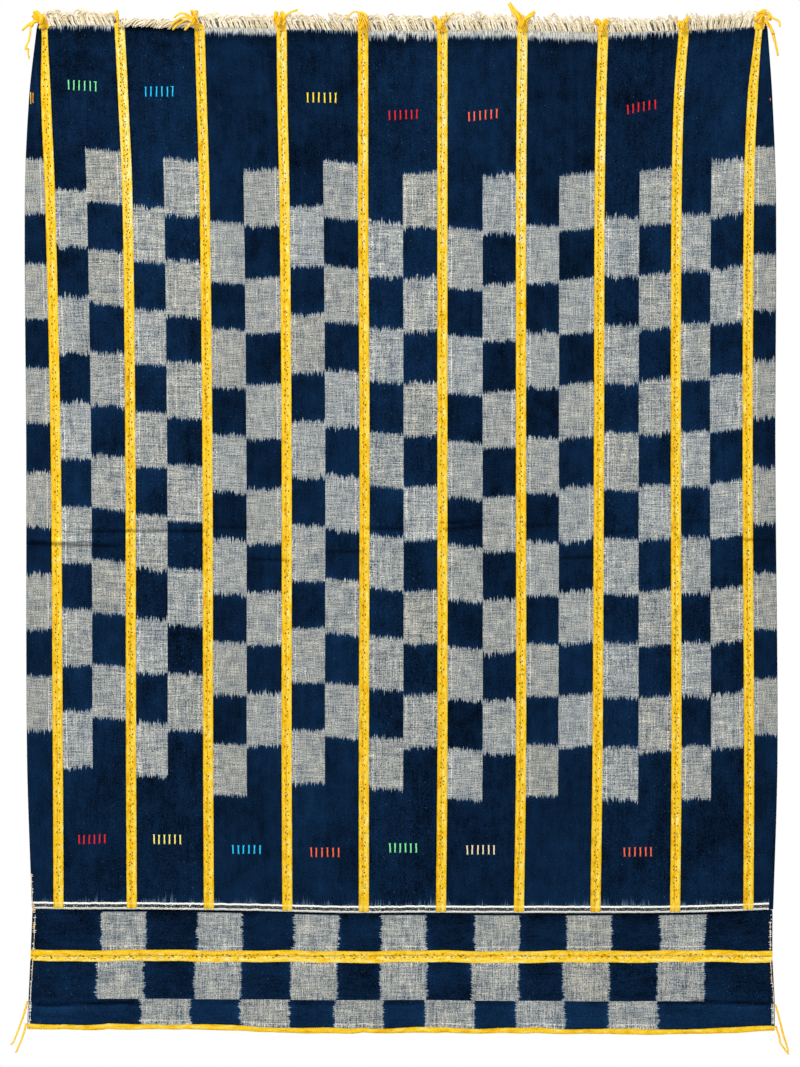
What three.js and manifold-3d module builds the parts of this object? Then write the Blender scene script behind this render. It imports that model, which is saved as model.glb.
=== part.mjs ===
// A strip-woven cotton cloth, hung by its top edge with its sides turned back.
// Eleven narrow lengths run down it, two more cross it as a border, the cut warp stands up as a
// fringe, and the yellow warp ends over each seam are tied in a knot.
// Millimetres, +Z up. The front faces -Y. The origin is the middle of the top edge.
import * as THREE from "three";
import Module from "manifold-3d";

const wasm = await Module();
wasm.setup();

// Cloth and sewing
const STRIP_WIDTH = 110;
const THICKNESS = 1.2;
const GAP = 0.3;
const LAP_GAP = 0.4;
const LAP_OFFSET = THICKNESS + LAP_GAP;
const FOLD_RADIUS = 2.5;
const END_HEM_WIDTH = 12;
const END_HEM_RADIUS = 1;

// Heights, down from the top edge
const BORDER_TUCK = 38;
const BORDER_SEAM = 1297;
const TUCK_INSET = 9;

// Fringe
const HEADING_HEIGHT = 4;
const HEADING_MARGIN = 9;
const HEADING_THICKNESS = 2;
const STRAND_RADII = [0.8, 1.35, 0.75];
const STRAND_SINK = 1;
const STRAND_SIDES = 3;
const STRAND_UNEVENNESS = 0.3;
const STRAND_WANDER = 0.4;
const BEND = { sway: 0.4, fall: 0.35, up: 0.6 };

// How finely the sheets are cut up
const BODY_ROWS = 21;
const BODY_COLUMNS = 4;
const ROW_CROWDING = 1.3;
const BORDER_COLUMNS = 50;
const FOLD_STEPS = 5;
const END_HEM_STEPS = 3;

// The side folds and the ten seams: x at six levels below the top edge.
const LEVELS = { top: 0, shoulder: 100, upper: 240, middle: 590, low: 1010, hem: 1230 };
const LINES = {
  fold_left: { top: -507, shoulder: -518, upper: -525, middle: -523, low: -520, hem: -515 },
  seam_01: { top: -498, shoulder: -495, upper: -490, middle: -482, low: -479, hem: -478 },
  seam_02: { top: -393, shoulder: -388, upper: -382, middle: -378, low: -377, hem: -376 },
  seam_03: { top: -281, shoulder: -278, upper: -274, middle: -270, low: -269, hem: -268 },
  seam_04: { top: -166, shoulder: -165, upper: -162, middle: -159, low: -159, hem: -158 },
  seam_05: { top: -52, shoulder: -52, upper: -52, middle: -50, low: -51, hem: -51 },
  seam_06: { top: 59, shoulder: 59, upper: 59, middle: 59, low: 59, hem: 57 },
  seam_07: { top: 171, shoulder: 170, upper: 169, middle: 169, low: 169, hem: 166 },
  seam_08: { top: 284, shoulder: 281, upper: 279, middle: 278, low: 276, hem: 273 },
  seam_09: { top: 396, shoulder: 389, upper: 386, middle: 385, low: 386, hem: 385 },
  seam_10: { top: 503, shoulder: 493, upper: 488, middle: 486, low: 488, hem: 487 },
  fold_right: { top: 514, shoulder: 520, upper: 526, middle: 525, low: 525, hem: 522 },
};
const SEAM_COUNT = 10;

// The border's two ends: x at four levels below the top edge.
const BORDER_LEVELS = { hem: 1230, seam: 1297, crease: 1362, foot: 1400 };
const BORDER_ENDS = {
  left: { hem: -514, seam: -516.5, crease: -520, foot: -522 },
  right: { hem: 521, seam: 520.5, crease: 524, foot: 524 },
};

// How high the top edge stands, and how far the hem and foot sag, across the cloth.
const EDGE_PLACES = [-520, -393, -281, -166, -52, 59, 171, 284, 396, 520];
const TOP_EDGE = [6, 7, 4, 2, 0, 0, 0, -3, 0, 6];
const HEM_EDGE = [-1230, -1231, -1232, -1233, -1234, -1234, -1234, -1233, -1232, -1230];
const FOOT_EDGE = [-1398, -1400, -1402, -1401, -1404, -1404, -1402, -1404, -1402, -1401];

// Each length's fringe: how many strands, their length, how far they lean to the right, how far they
// fall forward, and the share of their length that their tips stand up.
const FRINGES = [
  { strip: 0, strands: 14, height: 15, lean: -3, fall: -2, tip: 0.95 },
  { strip: 1, strands: 18, height: 18, lean: -8, fall: 2, tip: 0.95 },
  { strip: 2, strands: 18, height: 10, lean: -7, fall: 7, tip: 0.1 },
  { strip: 3, strands: 18, height: 17, lean: -7, fall: 2, tip: 0.95 },
  { strip: 4, strands: 18, height: 18, lean: -8, fall: 2, tip: 0.95 },
  { strip: 5, strands: 18, height: 18, lean: -7, fall: 2, tip: 0.95 },
  { strip: 6, strands: 18, height: 19, lean: -8, fall: 2, tip: 0.95 },
  { strip: 7, strands: 18, height: 18, lean: -6, fall: 2, tip: 0.95 },
  { strip: 8, strands: 18, height: 16, lean: -6, fall: 2, tip: 0.95 },
  { strip: 9, strands: 18, height: 19, lean: 7, fall: 2, tip: 0.95 },
  { strip: 10, strands: 14, height: 15, lean: 3, fall: -2, tip: 0.95 },
];

// The knots. All points are [right, forward, up] from the seam's top. The neck gathers the warp ends
// into the knot, and each branch is a loop or a loose end that leaves it.
const NECK_WIDTH = 12;
const HEART = { length: 0.9, tilt: 0.4, radii: [0.72, 0.66], sides: 6 };
const KNOTS = [
  {
    seam: 1,
    heart: [0, 1, 11],
    heartRadius: 4,
    branches: [
      { radius: [2.6, 2.2], points: [[1, 1, 11], [-2, 3, 19], [-10, 3, 24], [-15, 2, 19], [-8, 1, 14]] },
      { radius: [1.4, 1.1], points: [[-6, 2, 13], [-12, 2, 10], [-20, 2, 6], [-29, 2, -1]] },
      {
        radius: [1.5, 1],
        points: [[-8, 3, 12], [-16, 4, 7], [-18, 4, -1], [-22, 3, -13], [-24, 3, -28], [-22, 3, -39]],
      },
    ],
  },
  {
    seam: 2,
    heart: [0, 1, 6],
    heartRadius: 3.4,
    branches: [{ radius: [2.2, 0.9], points: [[-1, 1, 6], [-4, 2, 13], [-5, 2, 19], [-3, 2, 25]] }],
  },
  {
    seam: 3,
    heart: [-5, 4, 8],
    heartRadius: 4.2,
    branches: [
      { radius: [1.5, 1.3], points: [[-6, 8, 9], [-17, 11, 16], [-27, 12, 21], [-34, 12, 15]] },
      { radius: [1.4, 1.1], points: [[-6, 8, 8], [-18, 11, 9], [-32, 11, 3], [-36, 11, -2]] },
      { radius: [1.4, 1], points: [[-3, 6, 7], [-10, 9, 2], [-17, 10, -3]] },
      { radius: [1.5, 2.2], points: [[-4, 4, 10], [-4, 4, 17], [-5, 4, 21], [-8, 4, 25]] },
    ],
  },
  {
    seam: 4,
    heart: [-3, 2, 9],
    heartRadius: 4.6,
    branches: [
      { radius: [2, 1.4], points: [[-3, 2, 10], [-7, 3, 17], [-9, 3, 25]] },
      { radius: [1.8, 1.3], points: [[-3, 2, 10], [-3, 3, 18], [-2, 3, 25]] },
      { radius: [1.2, 1], points: [[-2, 3, 10], [4, 5, 17], [12, 6, 24], [23, 6, 25]] },
    ],
  },
  {
    seam: 5,
    heart: [0, 2, 9],
    heartRadius: 5,
    branches: [
      { radius: [1.2, 0.8], points: [[0, 3, 11], [-6, 5, 24], [-15, 6, 23], [-21, 6, 17], [-26, 6, 18]] },
      { radius: [1.3, 1.2], points: [[-1, 2, 11], [-4, 3, 24], [4, 3, 20]] },
    ],
  },
  {
    seam: 6,
    heart: [-3, 2, 6],
    heartRadius: 4.2,
    branches: [
      { radius: [2.6, 2.4], points: [[-3, 2, 6], [-9, 4, 12], [-12, 5, 17]] },
      { radius: [1.3, 0.9], points: [[-2, 2, 6], [3, 4, 15], [6, 5, 25]] },
      { radius: [1.2, 0.8], points: [[-1, 3, 6], [7, 5, 16], [17, 6, 25]] },
    ],
  },
  {
    seam: 7,
    heart: [1, 2, 9],
    heartRadius: 4,
    branches: [
      { radius: [2.2, 1.8], points: [[1, 2, 10], [-4, 4, 21], [-14, 5, 30], [-18, 5, 37]] },
      { radius: [1.8, 1.4], points: [[2, 2, 10], [9, 4, 20], [18, 5, 25]] },
    ],
  },
  {
    seam: 8,
    heart: [0, 2, 6.5],
    heartRadius: 4.6,
    branches: [
      { radius: [2.4, 2], points: [[0, 2, 7], [-6, 3, 11], [-10, 4, 14]] },
      { radius: [2.2, 1.8], points: [[0, 2, 7], [4, 3, 12], [7, 4, 15]] },
    ],
  },
  {
    seam: 9,
    heart: [0, 2, 6.5],
    heartRadius: 4.4,
    branches: [{ radius: [2.4, 1.2], points: [[0, 2, 7], [5, 3, 11], [8, 4, 18]] }],
  },
  {
    seam: 10,
    heart: [-1, 2, 11],
    heartRadius: 4,
    branches: [
      { radius: [2.4, 2], points: [[-2, 2, 12], [1, 3, 21], [8, 3, 25], [14, 3, 19], [8, 2, 12]] },
      { radius: [1.2, 1], points: [[8, 3, 12], [18, 4, 12], [27, 4, 7], [28, 4, -1]] },
      { radius: [1.7, 1.2], points: [[7, 3, 11], [12, 4, 6], [17, 4, -3], [21, 4, -16], [26, 3, -40]] },
    ],
  },
];

// The loose sewing yarns at the bottom corners, as [right, forward, up] in the cloth's own frame.
const YARN_RADIUS = [1.1, 0.9];
const YARN_ENDS = {
  yarn_end_left_upper: [
    [[-521.6, 0, -1360], [-529, 1, -1385], [-540, 2, -1414], [-545, 2, -1421]],
  ],
  yarn_end_left_lower: [
    [[-523.5, 0, -1391], [-527, 1, -1405], [-533, 2, -1421], [-538, 2, -1432]],
  ],
  yarn_end_right: [
    [[525.6, 0, -1364], [531, 1, -1385], [536, 1, -1405], [541, 2, -1421], [544, 2, -1432]],
    [[525.7, 0, -1394], [531, 0, -1410], [533, 1, -1419], [544, 2, -1434]],
  ],
};

const INDIGO = new THREE.MeshStandardMaterial({ color: 0x22344d, roughness: 0.92, metalness: 0 });
const CREAM = new THREE.MeshStandardMaterial({ color: 0xe6d8b8, roughness: 0.95, metalness: 0 });
const YELLOW = new THREE.MeshStandardMaterial({ color: 0xf0c534, roughness: 0.85, metalness: 0 });

// A smooth line through the given places and values.
function smoothAt(places, values, place) {
  const last = places.length - 1;
  const slope = (i) => {
    const a = Math.max(i - 1, 0);
    const b = Math.min(i + 1, last);
    return (values[b] - values[a]) / (places[b] - places[a]);
  };
  if (place <= places[0]) return values[0];
  if (place >= places[last]) return values[last];
  const i = places.findIndex((p) => p > place) - 1;
  const span = places[i + 1] - places[i];
  const t = (place - places[i]) / span;
  const rise = 3 * t * t - 2 * t * t * t;
  const leave = t * (1 - t) * (1 - t) * span * slope(i);
  const arrive = t * t * (1 - t) * span * slope(i + 1);
  return values[i] * (1 - rise) + values[i + 1] * rise + leave - arrive;
}

function lineAt(row, levels, depth) {
  const names = Object.keys(levels);
  return smoothAt(names.map((n) => levels[n]), names.map((n) => row[n]), depth);
}

const pad = (n) => String(n).padStart(2, "0");
const seamAt = (seam, depth) => lineAt(LINES[`seam_${pad(seam)}`], LEVELS, depth);
const topEdge = (x) => smoothAt(EDGE_PLACES, TOP_EDGE, x);
const hemEdge = (x) => smoothAt(EDGE_PLACES, HEM_EDGE, x);
const footEdge = (x) => smoothAt(EDGE_PLACES, FOOT_EDGE, x);
const HEM_DEPTH = LEVELS.hem;

// The cloth's slow waves: nearly straight where it is held, fuller below.
function drape(x, depth) {
  const fullness = 0.2 + 0.8 * THREE.MathUtils.smoothstep(depth, 0, 500);
  const broad = 2.6 * Math.sin((2 * Math.PI * (x + 40)) / 330);
  const narrow = 1.6 * Math.sin((2 * Math.PI * x) / 190 + 1.3);
  return fullness * (broad + narrow);
}

// A fixed share between 0 and 1 for each whole number, to make strands uneven.
function uneven(n) {
  const wave = Math.sin(n * 12.9898) * 43758.5453;
  return wave - Math.floor(wave);
}

function manifoldOf(positions, triangles) {
  return new wasm.Manifold(
    new wasm.Mesh({
      numProp: 3,
      vertProperties: new Float32Array(positions),
      triVerts: new Uint32Array(triangles),
    }),
  );
}

// The triangles turned to face outwards.
function facingOut(positions, triangles) {
  const corner = (i) => new THREE.Vector3().fromArray(positions, 3 * i);
  let volume = 0;
  for (let i = 0; i < triangles.length; i += 3) {
    const [a, b, c] = triangles.slice(i, i + 3).map(corner);
    volume += a.dot(b.cross(c));
  }
  return volume > 0 ? triangles : triangles.toReversed();
}

function meshOf(name, positions, triangles, material) {
  const geometry = new THREE.BufferGeometry();
  geometry.setAttribute("position", new THREE.Float32BufferAttribute(positions, 3));
  geometry.setIndex(Array.from(triangles));
  geometry.computeVertexNormals();
  const mesh = new THREE.Mesh(geometry, material);
  mesh.name = name;
  return mesh;
}

const solidOf = ({ geometry }) => manifoldOf(geometry.attributes.position.array, geometry.index.array);

function meshOfSolid(name, solid, material) {
  const { numProp, numVert, vertProperties, triVerts } = solid.getMesh();
  const positions = [];
  for (let i = 0; i < numVert; i++) {
    positions.push(...vertProperties.subarray(i * numProp, i * numProp + 3));
  }
  return meshOf(name, positions, triVerts, material);
}

// A closed sheet round its middle surface, given as rows of points from one edge to the other.
function sheetMesh(name, rows, material, thickness = THICKNESS) {
  const columns = rows[0].length;
  const positions = [];
  for (const side of [-thickness / 2, thickness / 2]) {
    for (const row of rows) {
      row.forEach((point, i) => {
        const before = row[Math.max(i - 1, 0)];
        const after = row[Math.min(i + 1, columns - 1)];
        const along = new THREE.Vector2(after.x - before.x, after.y - before.y).normalize();
        positions.push(point.x - along.y * side, point.y + along.x * side, point.z);
      });
    }
  }
  const layer = rows.length * columns;
  const triangles = [];
  const quad = (a, b, c, d) => triangles.push(a, b, c, a, c, d);
  for (let r = 0; r < rows.length - 1; r++) {
    for (let c = 0; c < columns - 1; c++) {
      const a = r * columns + c;
      const d = a + columns;
      quad(a, a + 1, d + 1, d);
      quad(layer + a, layer + d, layer + d + 1, layer + a + 1);
    }
  }
  const rim = [];
  const bottom = (rows.length - 1) * columns;
  for (let c = 0; c < columns - 1; c++) rim.push(c);
  for (let r = 0; r < rows.length - 1; r++) rim.push(r * columns + columns - 1);
  for (let c = columns - 1; c > 0; c--) rim.push(bottom + c);
  for (let r = rows.length - 1; r > 0; r--) rim.push(r * columns);
  rim.forEach((p, i) => {
    const q = rim[(i + 1) % rim.length];
    quad(q, p, layer + p, layer + q);
  });
  return meshOf(name, positions, facingOut(positions, triangles), material);
}

// Rows of a length of the body. across(depth) gives its [x, offset behind the cloth] from edge to edge.
function bodyRows(across) {
  const rows = [];
  for (let r = 0; r <= BODY_ROWS; r++) {
    const share = (r / BODY_ROWS) ** ROW_CROWDING;
    const depth = share * HEM_DEPTH;
    rows.push(
      across(depth).map(([x, behind]) => {
        const z = topEdge(x) * (1 - share) + hemEdge(x) * share;
        return new THREE.Vector3(x, drape(x, depth) + behind, z);
      }),
    );
  }
  return rows;
}

function innerStrip(strip) {
  const across = (depth) => {
    const left = seamAt(strip, depth) + GAP / 2;
    const right = seamAt(strip + 1, depth) - GAP / 2;
    return Array.from({ length: BODY_COLUMNS + 1 }, (_, i) => [
      THREE.MathUtils.lerp(left, right, i / BODY_COLUMNS),
      0,
    ]);
  };
  return sheetMesh(`strip_${pad(strip)}`, bodyRows(across), INDIGO);
}

// A half turn from the front layer to the layer behind, out towards the given side.
function halfTurn(x, offset, side, radius, steps) {
  return Array.from({ length: steps + 1 }, (_, i) => {
    const angle = (Math.PI * i) / steps;
    return [
      x + side * radius * (Math.sin(angle) - 1),
      offset + radius * (1 - Math.cos(angle)),
    ];
  });
}

// An outer length: out from its seam, round the side fold and back behind the cloth.
function outerStrip(strip) {
  const side = strip === 0 ? -1 : 1;
  const seam = strip === 0 ? 1 : SEAM_COUNT;
  const fold = strip === 0 ? LINES.fold_left : LINES.fold_right;
  const across = (depth) => {
    const start = seamAt(seam, depth) + (side * GAP) / 2;
    const end = lineAt(fold, LEVELS, depth);
    const frontWidth = Math.abs(end - start) - FOLD_RADIUS;
    const backWidth = STRIP_WIDTH - frontWidth - Math.PI * FOLD_RADIUS;
    const turn = halfTurn(end, 0, side, FOLD_RADIUS, FOLD_STEPS);
    const back = [1 / 3, 2 / 3, 1].map((share) => [
      end - side * (FOLD_RADIUS + backWidth * share),
      2 * FOLD_RADIUS,
    ]);
    return [[start, 0], [start + (side * frontWidth) / 2, 0], ...turn, ...back];
  };
  return sheetMesh(`strip_${pad(strip)}`, bodyRows(across), INDIGO);
}

// A crosswise length between two levels, with both ends turned back as narrow hems. The part that
// is tucked up behind the body's hem is a little shorter.
function borderStrip(name, levels) {
  const rows = levels.map(({ depth, edge, inset }) => {
    const [left, right] = ["left", "right"].map((end) => {
      const side = end === "left" ? -1 : 1;
      return lineAt(BORDER_ENDS[end], BORDER_LEVELS, depth) - side * inset;
    });
    const endHem = (x, side) => [
      ...halfTurn(x, LAP_OFFSET, side, END_HEM_RADIUS, END_HEM_STEPS),
      [x - side * END_HEM_WIDTH, LAP_OFFSET + 2 * END_HEM_RADIUS],
    ];
    const middle = Array.from({ length: BORDER_COLUMNS - 1 }, (_, i) => [
      THREE.MathUtils.lerp(left, right, (i + 1) / BORDER_COLUMNS),
      LAP_OFFSET,
    ]);
    const across = [...endHem(left, -1).reverse(), ...middle, ...endHem(right, 1)];
    return across.map(([x, behind]) => new THREE.Vector3(x, drape(x, depth) + behind, edge(x)));
  });
  return sheetMesh(name, rows, INDIGO);
}

// A yarn along a smooth line. Its radii are spread evenly along it.
function yarnSolid(points, radii, sides, steps) {
  const curve = new THREE.CatmullRomCurve3(points);
  const frames = curve.computeFrenetFrames(steps, false);
  const places = radii.map((_, i) => i / (radii.length - 1));
  const positions = [];
  for (let s = 0; s <= steps; s++) {
    const centre = curve.getPointAt(s / steps);
    const radius = smoothAt(places, radii, s / steps);
    for (let k = 0; k < sides; k++) {
      const angle = (2 * Math.PI * k) / sides;
      const spoke = new THREE.Vector3()
        .addScaledVector(frames.normals[s], Math.cos(angle) * radius)
        .addScaledVector(frames.binormals[s], Math.sin(angle) * radius);
      positions.push(...centre.clone().add(spoke).toArray());
    }
  }
  const triangles = [];
  for (let s = 0; s < steps; s++) {
    for (let k = 0; k < sides; k++) {
      const a = s * sides + k;
      const b = s * sides + ((k + 1) % sides);
      triangles.push(a, b, b + sides, a, b + sides, a + sides);
    }
  }
  const end = steps * sides;
  for (let k = 1; k < sides - 1; k++) {
    triangles.push(0, k + 1, k, end, end + k, end + k + 1);
  }
  return manifoldOf(positions, facingOut(positions, triangles));
}

// A length's fringe: strands rooted in a narrow heading that stands just above the cloth's edge.
function fringe({ strip, strands, height, lean, fall, tip }) {
  const outer = strip === 0 || strip === SEAM_COUNT;
  const behind = outer ? 2 * FOLD_RADIUS : 0;
  const [left, right] = outer ? turnedBackEdges(strip) : [seamAt(strip, 0), seamAt(strip + 1, 0)];
  const first = left + HEADING_MARGIN;
  const last = right - HEADING_MARGIN;
  const at = (x, up) => new THREE.Vector3(x, drape(x, 0) + behind, topEdge(x) + up);
  const edge = (up) =>
    Array.from({ length: BODY_COLUMNS + 1 }, (_, i) =>
      at(THREE.MathUtils.lerp(first, last, i / BODY_COLUMNS), up),
    );
  const headingRows = [edge(GAP + HEADING_HEIGHT), edge(GAP)];
  let solid = solidOf(sheetMesh("heading", headingRows, CREAM, HEADING_THICKNESS));
  const pitch = (last - first) / strands;
  for (let i = 0; i < strands; i++) {
    const share = (i + 0.5) / strands;
    const seed = strip * 100 + i;
    const root = at(first + pitch * (i + 0.5), GAP + HEADING_HEIGHT - STRAND_SINK);
    const tall = height * (1 + STRAND_UNEVENNESS * (uneven(seed) - 0.5));
    const wander = pitch * STRAND_WANDER * (uneven(seed + strands) - 0.5);
    const sway = lean * Math.sin(Math.PI * share) + wander;
    const bend = new THREE.Vector3(sway * BEND.sway, -fall * BEND.fall, tall * BEND.up).add(root);
    const end = new THREE.Vector3(sway, -fall, tall * tip).add(root);
    solid = solid.add(yarnSolid([root, bend, end], STRAND_RADII, STRAND_SIDES, 2));
  }
  return meshOfSolid(`fringe_${pad(strip)}`, solid, CREAM);
}

// Where the turned-back layer of an outer length starts and ends along the top edge.
function turnedBackEdges(strip) {
  const side = strip === 0 ? -1 : 1;
  const seam = strip === 0 ? 1 : SEAM_COUNT;
  const fold = (strip === 0 ? LINES.fold_left : LINES.fold_right).top;
  const frontWidth = Math.abs(fold - seamAt(seam, 0)) - FOLD_RADIUS;
  const backWidth = STRIP_WIDTH - frontWidth - Math.PI * FOLD_RADIUS;
  const free = fold - side * (FOLD_RADIUS + backWidth);
  return side < 0 ? [fold, free] : [free, fold];
}

// The yellow warp ends over a seam: a flat neck, the knot's heart and its loops and loose ends.
function knot({ seam, heart, heartRadius, branches }) {
  const x = seamAt(seam, 0);
  const base = new THREE.Vector3(x, drape(x, 0), topEdge(x));
  const place = ([right, forward, up]) => base.clone().add(new THREE.Vector3(right, -forward, up));
  const centre = place(heart);
  const neckRows = [
    { at: centre, width: heartRadius },
    { at: place([0, 0, 0]), width: NECK_WIDTH },
  ].map(({ at, width }) =>
    [-0.5, 0, 0.5].map((share) => {
      const px = at.x + share * width;
      const z = at === centre ? at.z : topEdge(px) + GAP;
      return new THREE.Vector3(px, at.y, z);
    }),
  );
  let solid = solidOf(sheetMesh("neck", neckRows, YELLOW));
  const half = new THREE.Vector3(HEART.length, 0, HEART.tilt).multiplyScalar(heartRadius);
  const turn = [centre.clone().sub(half), centre, centre.clone().add(half)];
  const radii = HEART.radii.map((r) => r * heartRadius);
  solid = solid.add(yarnSolid(turn, radii, HEART.sides, 2));
  for (const { radius, points } of branches) {
    solid = solid.add(yarnSolid(points.map(place), radius, 5, points.length * 2 - 2));
  }
  return meshOfSolid(`knot_${pad(seam)}`, solid, YELLOW);
}

function yarnEnd(name, lines) {
  const solids = lines.map((points) => {
    const line = points.map(([x, forward, z]) => {
      return new THREE.Vector3(x, drape(x, -z) + LAP_OFFSET - forward, z);
    });
    return yarnSolid(line, YARN_RADIUS, 5, 2 * points.length);
  });
  return meshOfSolid(name, solids.reduce((a, b) => a.add(b)), YELLOW);
}

const cloth = new THREE.Group();
for (let strip = 0; strip <= SEAM_COUNT; strip++) {
  const outer = strip === 0 || strip === SEAM_COUNT;
  cloth.add(outer ? outerStrip(strip) : innerStrip(strip));
}
cloth.add(
  borderStrip("border_upper", [
    { depth: HEM_DEPTH - BORDER_TUCK, edge: (x) => hemEdge(x) + BORDER_TUCK, inset: TUCK_INSET },
    { depth: HEM_DEPTH, edge: (x) => hemEdge(x) - GAP, inset: TUCK_INSET },
    { depth: HEM_DEPTH + 4, edge: (x) => hemEdge(x) - 4, inset: 0 },
    { depth: BORDER_SEAM, edge: () => -BORDER_SEAM + GAP / 2, inset: 0 },
  ]),
  borderStrip("border_lower", [
    { depth: BORDER_SEAM, edge: () => -BORDER_SEAM - GAP / 2, inset: 0 },
    { depth: BORDER_LEVELS.crease, edge: () => -BORDER_LEVELS.crease, inset: 0 },
    { depth: BORDER_LEVELS.foot, edge: footEdge, inset: 0 },
  ]),
);
FRINGES.forEach((row) => cloth.add(fringe(row)));
KNOTS.forEach((row) => cloth.add(knot(row)));
Object.entries(YARN_ENDS).forEach(([name, lines]) => cloth.add(yarnEnd(name, lines)));

export default cloth;
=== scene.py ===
"""Looks for a strip-woven indigo cloth with resist-dyed blocks, yellow seams, knots and a fringe.

Sizes in the tables are millimetres, with x to the right and z up from the middle of the top edge.
"""

import math

import bpy
import numpy as np
from bpy.props import FloatProperty, FloatVectorProperty, IntProperty, PointerProperty
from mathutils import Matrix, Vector


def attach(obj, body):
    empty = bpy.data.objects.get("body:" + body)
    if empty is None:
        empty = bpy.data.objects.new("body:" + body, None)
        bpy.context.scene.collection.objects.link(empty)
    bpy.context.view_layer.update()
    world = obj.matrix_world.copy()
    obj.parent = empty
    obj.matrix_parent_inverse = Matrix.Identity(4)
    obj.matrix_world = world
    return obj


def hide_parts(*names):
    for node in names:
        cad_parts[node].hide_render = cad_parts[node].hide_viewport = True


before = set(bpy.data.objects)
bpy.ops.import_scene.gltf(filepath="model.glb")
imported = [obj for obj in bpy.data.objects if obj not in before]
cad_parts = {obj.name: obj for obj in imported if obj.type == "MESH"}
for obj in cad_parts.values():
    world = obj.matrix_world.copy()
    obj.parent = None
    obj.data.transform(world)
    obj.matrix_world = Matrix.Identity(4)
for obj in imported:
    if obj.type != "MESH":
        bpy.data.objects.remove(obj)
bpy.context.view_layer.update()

bl_info = {
    "name": "Strip-woven cloth",
    "version": (1, 0, 0),
    "blender": (4, 5, 0),
    "location": "3D View > Sidebar > Cloth",
    "description": "Builds a hung strip-woven cloth with dyed blocks, yellow seams, knots and a fringe",
    "category": "Add Mesh",
}

MM = 0.001
BODY = "root"
UNDYED = "undyed_cotton"
YELLOW = "yellow_cotton"


def table(columns, *rows):
    """Name the columns of a table's rows."""
    return [dict(zip(columns.split(), row)) for row in rows]


# Heights, down from the top edge
LEVELS = {"top": 0, "shoulder": 100, "upper": 240, "middle": 590, "low": 1010, "hem": 1230}
HEM = LEVELS["hem"]
BORDER_LEVELS = {"hem": 1230, "seam": 1297, "crease": 1362, "foot": 1400}
BORDER_SEAM = BORDER_LEVELS["seam"]
BORDER_TUCK = 38
TUCK_INSET = 9

# The side folds and the ten seams, at the six levels
LINES = {
    "fold_left": (-508, -519, -525, -523, -522, -515),
    1: (-498, -496, -490, -482, -479, -478),
    2: (-393, -388, -382, -378, -377, -376),
    3: (-281, -278, -274, -270, -269, -268),
    4: (-166, -165, -162, -159, -159, -158),
    5: (-52, -52, -52, -50, -51, -51),
    6: (59, 59, 59, 59, 59, 57),
    7: (171, 170, 169, 169, 169, 166),
    8: (284, 281, 279, 278, 276, 273),
    9: (397, 390, 387, 386, 387, 385),
    10: (503, 493, 488, 486, 488, 487),
    "fold_right": (514, 521, 526, 525, 528, 522),
}
SEAM_COUNT = 10
BORDER_ENDS = {"left": (-514, -517, -520, -522), "right": (521, 521, 524, 524)}
EDGE_PLACES = (-520, -393, -281, -166, -52, 59, 171, 284, 396, 520)
TOP_EDGE = (6, 7, 4, 2, 0, 0, 0, -3, 0, 6)
HEM_EDGE = (-1230, -1231, -1232, -1234, -1236, -1236, -1236, -1236, -1236, -1231)
FOOT_EDGE = (-1399, -1400, -1400, -1404, -1405, -1405, -1405, -1406, -1407, -1401)

# The dyed blocks of strips 0 to 10: where a strip changes from its left to its right half, six pale
# blocks in each half, and how far the dye stops short of the top. A half has the depths at which the
# first and the last block start, how far the middle ones hang below an even spacing, how far an edge
# drops to the right, and the first and the last block's height.
BLOCKS = 6
BLOCK_PITCH = 146
STRIPS = table(
    "split left right pale_top",
    (0.5, (225, 953, 4, 0, 80, 75), (181, 905, 3, 0, 77, 77), 3),
    (0.48, (225, 953, 6, 0, 79, 79), (169, 890, -5, 5, 74, 74), 3),
    (0.48, (248, 969, -1, 2, 77, 76), (182, 902, -5, 3, 78, 80), -5),
    (0.495, (269, 1000, 6, 3, 85, 71), (196, 928, 8, -3, 78, 74), 8),
    (0.5, (248, 980, 7, 0, 84, 74), (186, 916, 1, 5, 79, 75), 1),
    (0.505, (269, 991, 7, 5, 77, 72), (200, 931, 1, -3, 76, 73), 10),
    (0.515, (279, 1007, 7, 5, 84, 70), (204, 938, 9, -3, 80, 76), 10),
    (0.49, (274, 1001, 7, 2, 81, 71), (202, 931, 1, -6, 77, 72), 12),
    (0.52, (262, 1003, 6, 3, 84, 75), (195, 934, -2, -5, 77, 76), 5),
    (0.48, (257, 1003, 7, 0, 81, 74), (182, 928, 3, -7, 78, 76), 0),
    (0.5, (164, 908, 2, 0, 80, 78), (225, 953, 0, 0, 80, 75), 0),
)

# The border's three rows of blocks: where each pale block starts, from left to right, and its width
BORDER_ROWS = {
    "upper": {"starts": (-418, -283, -148, -26, 105, 234, 365), "width": 62},
    "second": {"starts": (-424, -288, -153, -28, 101, 228, 361), "width": 65},
    "third": {"starts": (-363, -224, -92, 35, 162, 292), "width": 69},
}
# How far below the border's seam its second row ends, which grows by a share of x to the right
BORDER_SPLIT = {"middle": 61.4, "drop": 0.005}
HEM_LINES = {"lower": 1.5, "upper": 8.7, "end": 516.5}
RIB_PITCH = 2.8
# Farther off than any dye or stripe of an edge reaches
FAR = 99
# The numbers by which the border's lengths go on counting the strips
BORDER_NUMBERS = {"upper": 11, "lower": 12}

# How wide the yellow stands beside each seam, at the top and from the shoulder down
SELVEDGE = {"left": 6.6, "right": 7.4}
SELVEDGE_AT_TOP = {1: {"left": 3.6, "right": 4.4}, 10: {"left": 5, "right": 4.4}}
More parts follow.
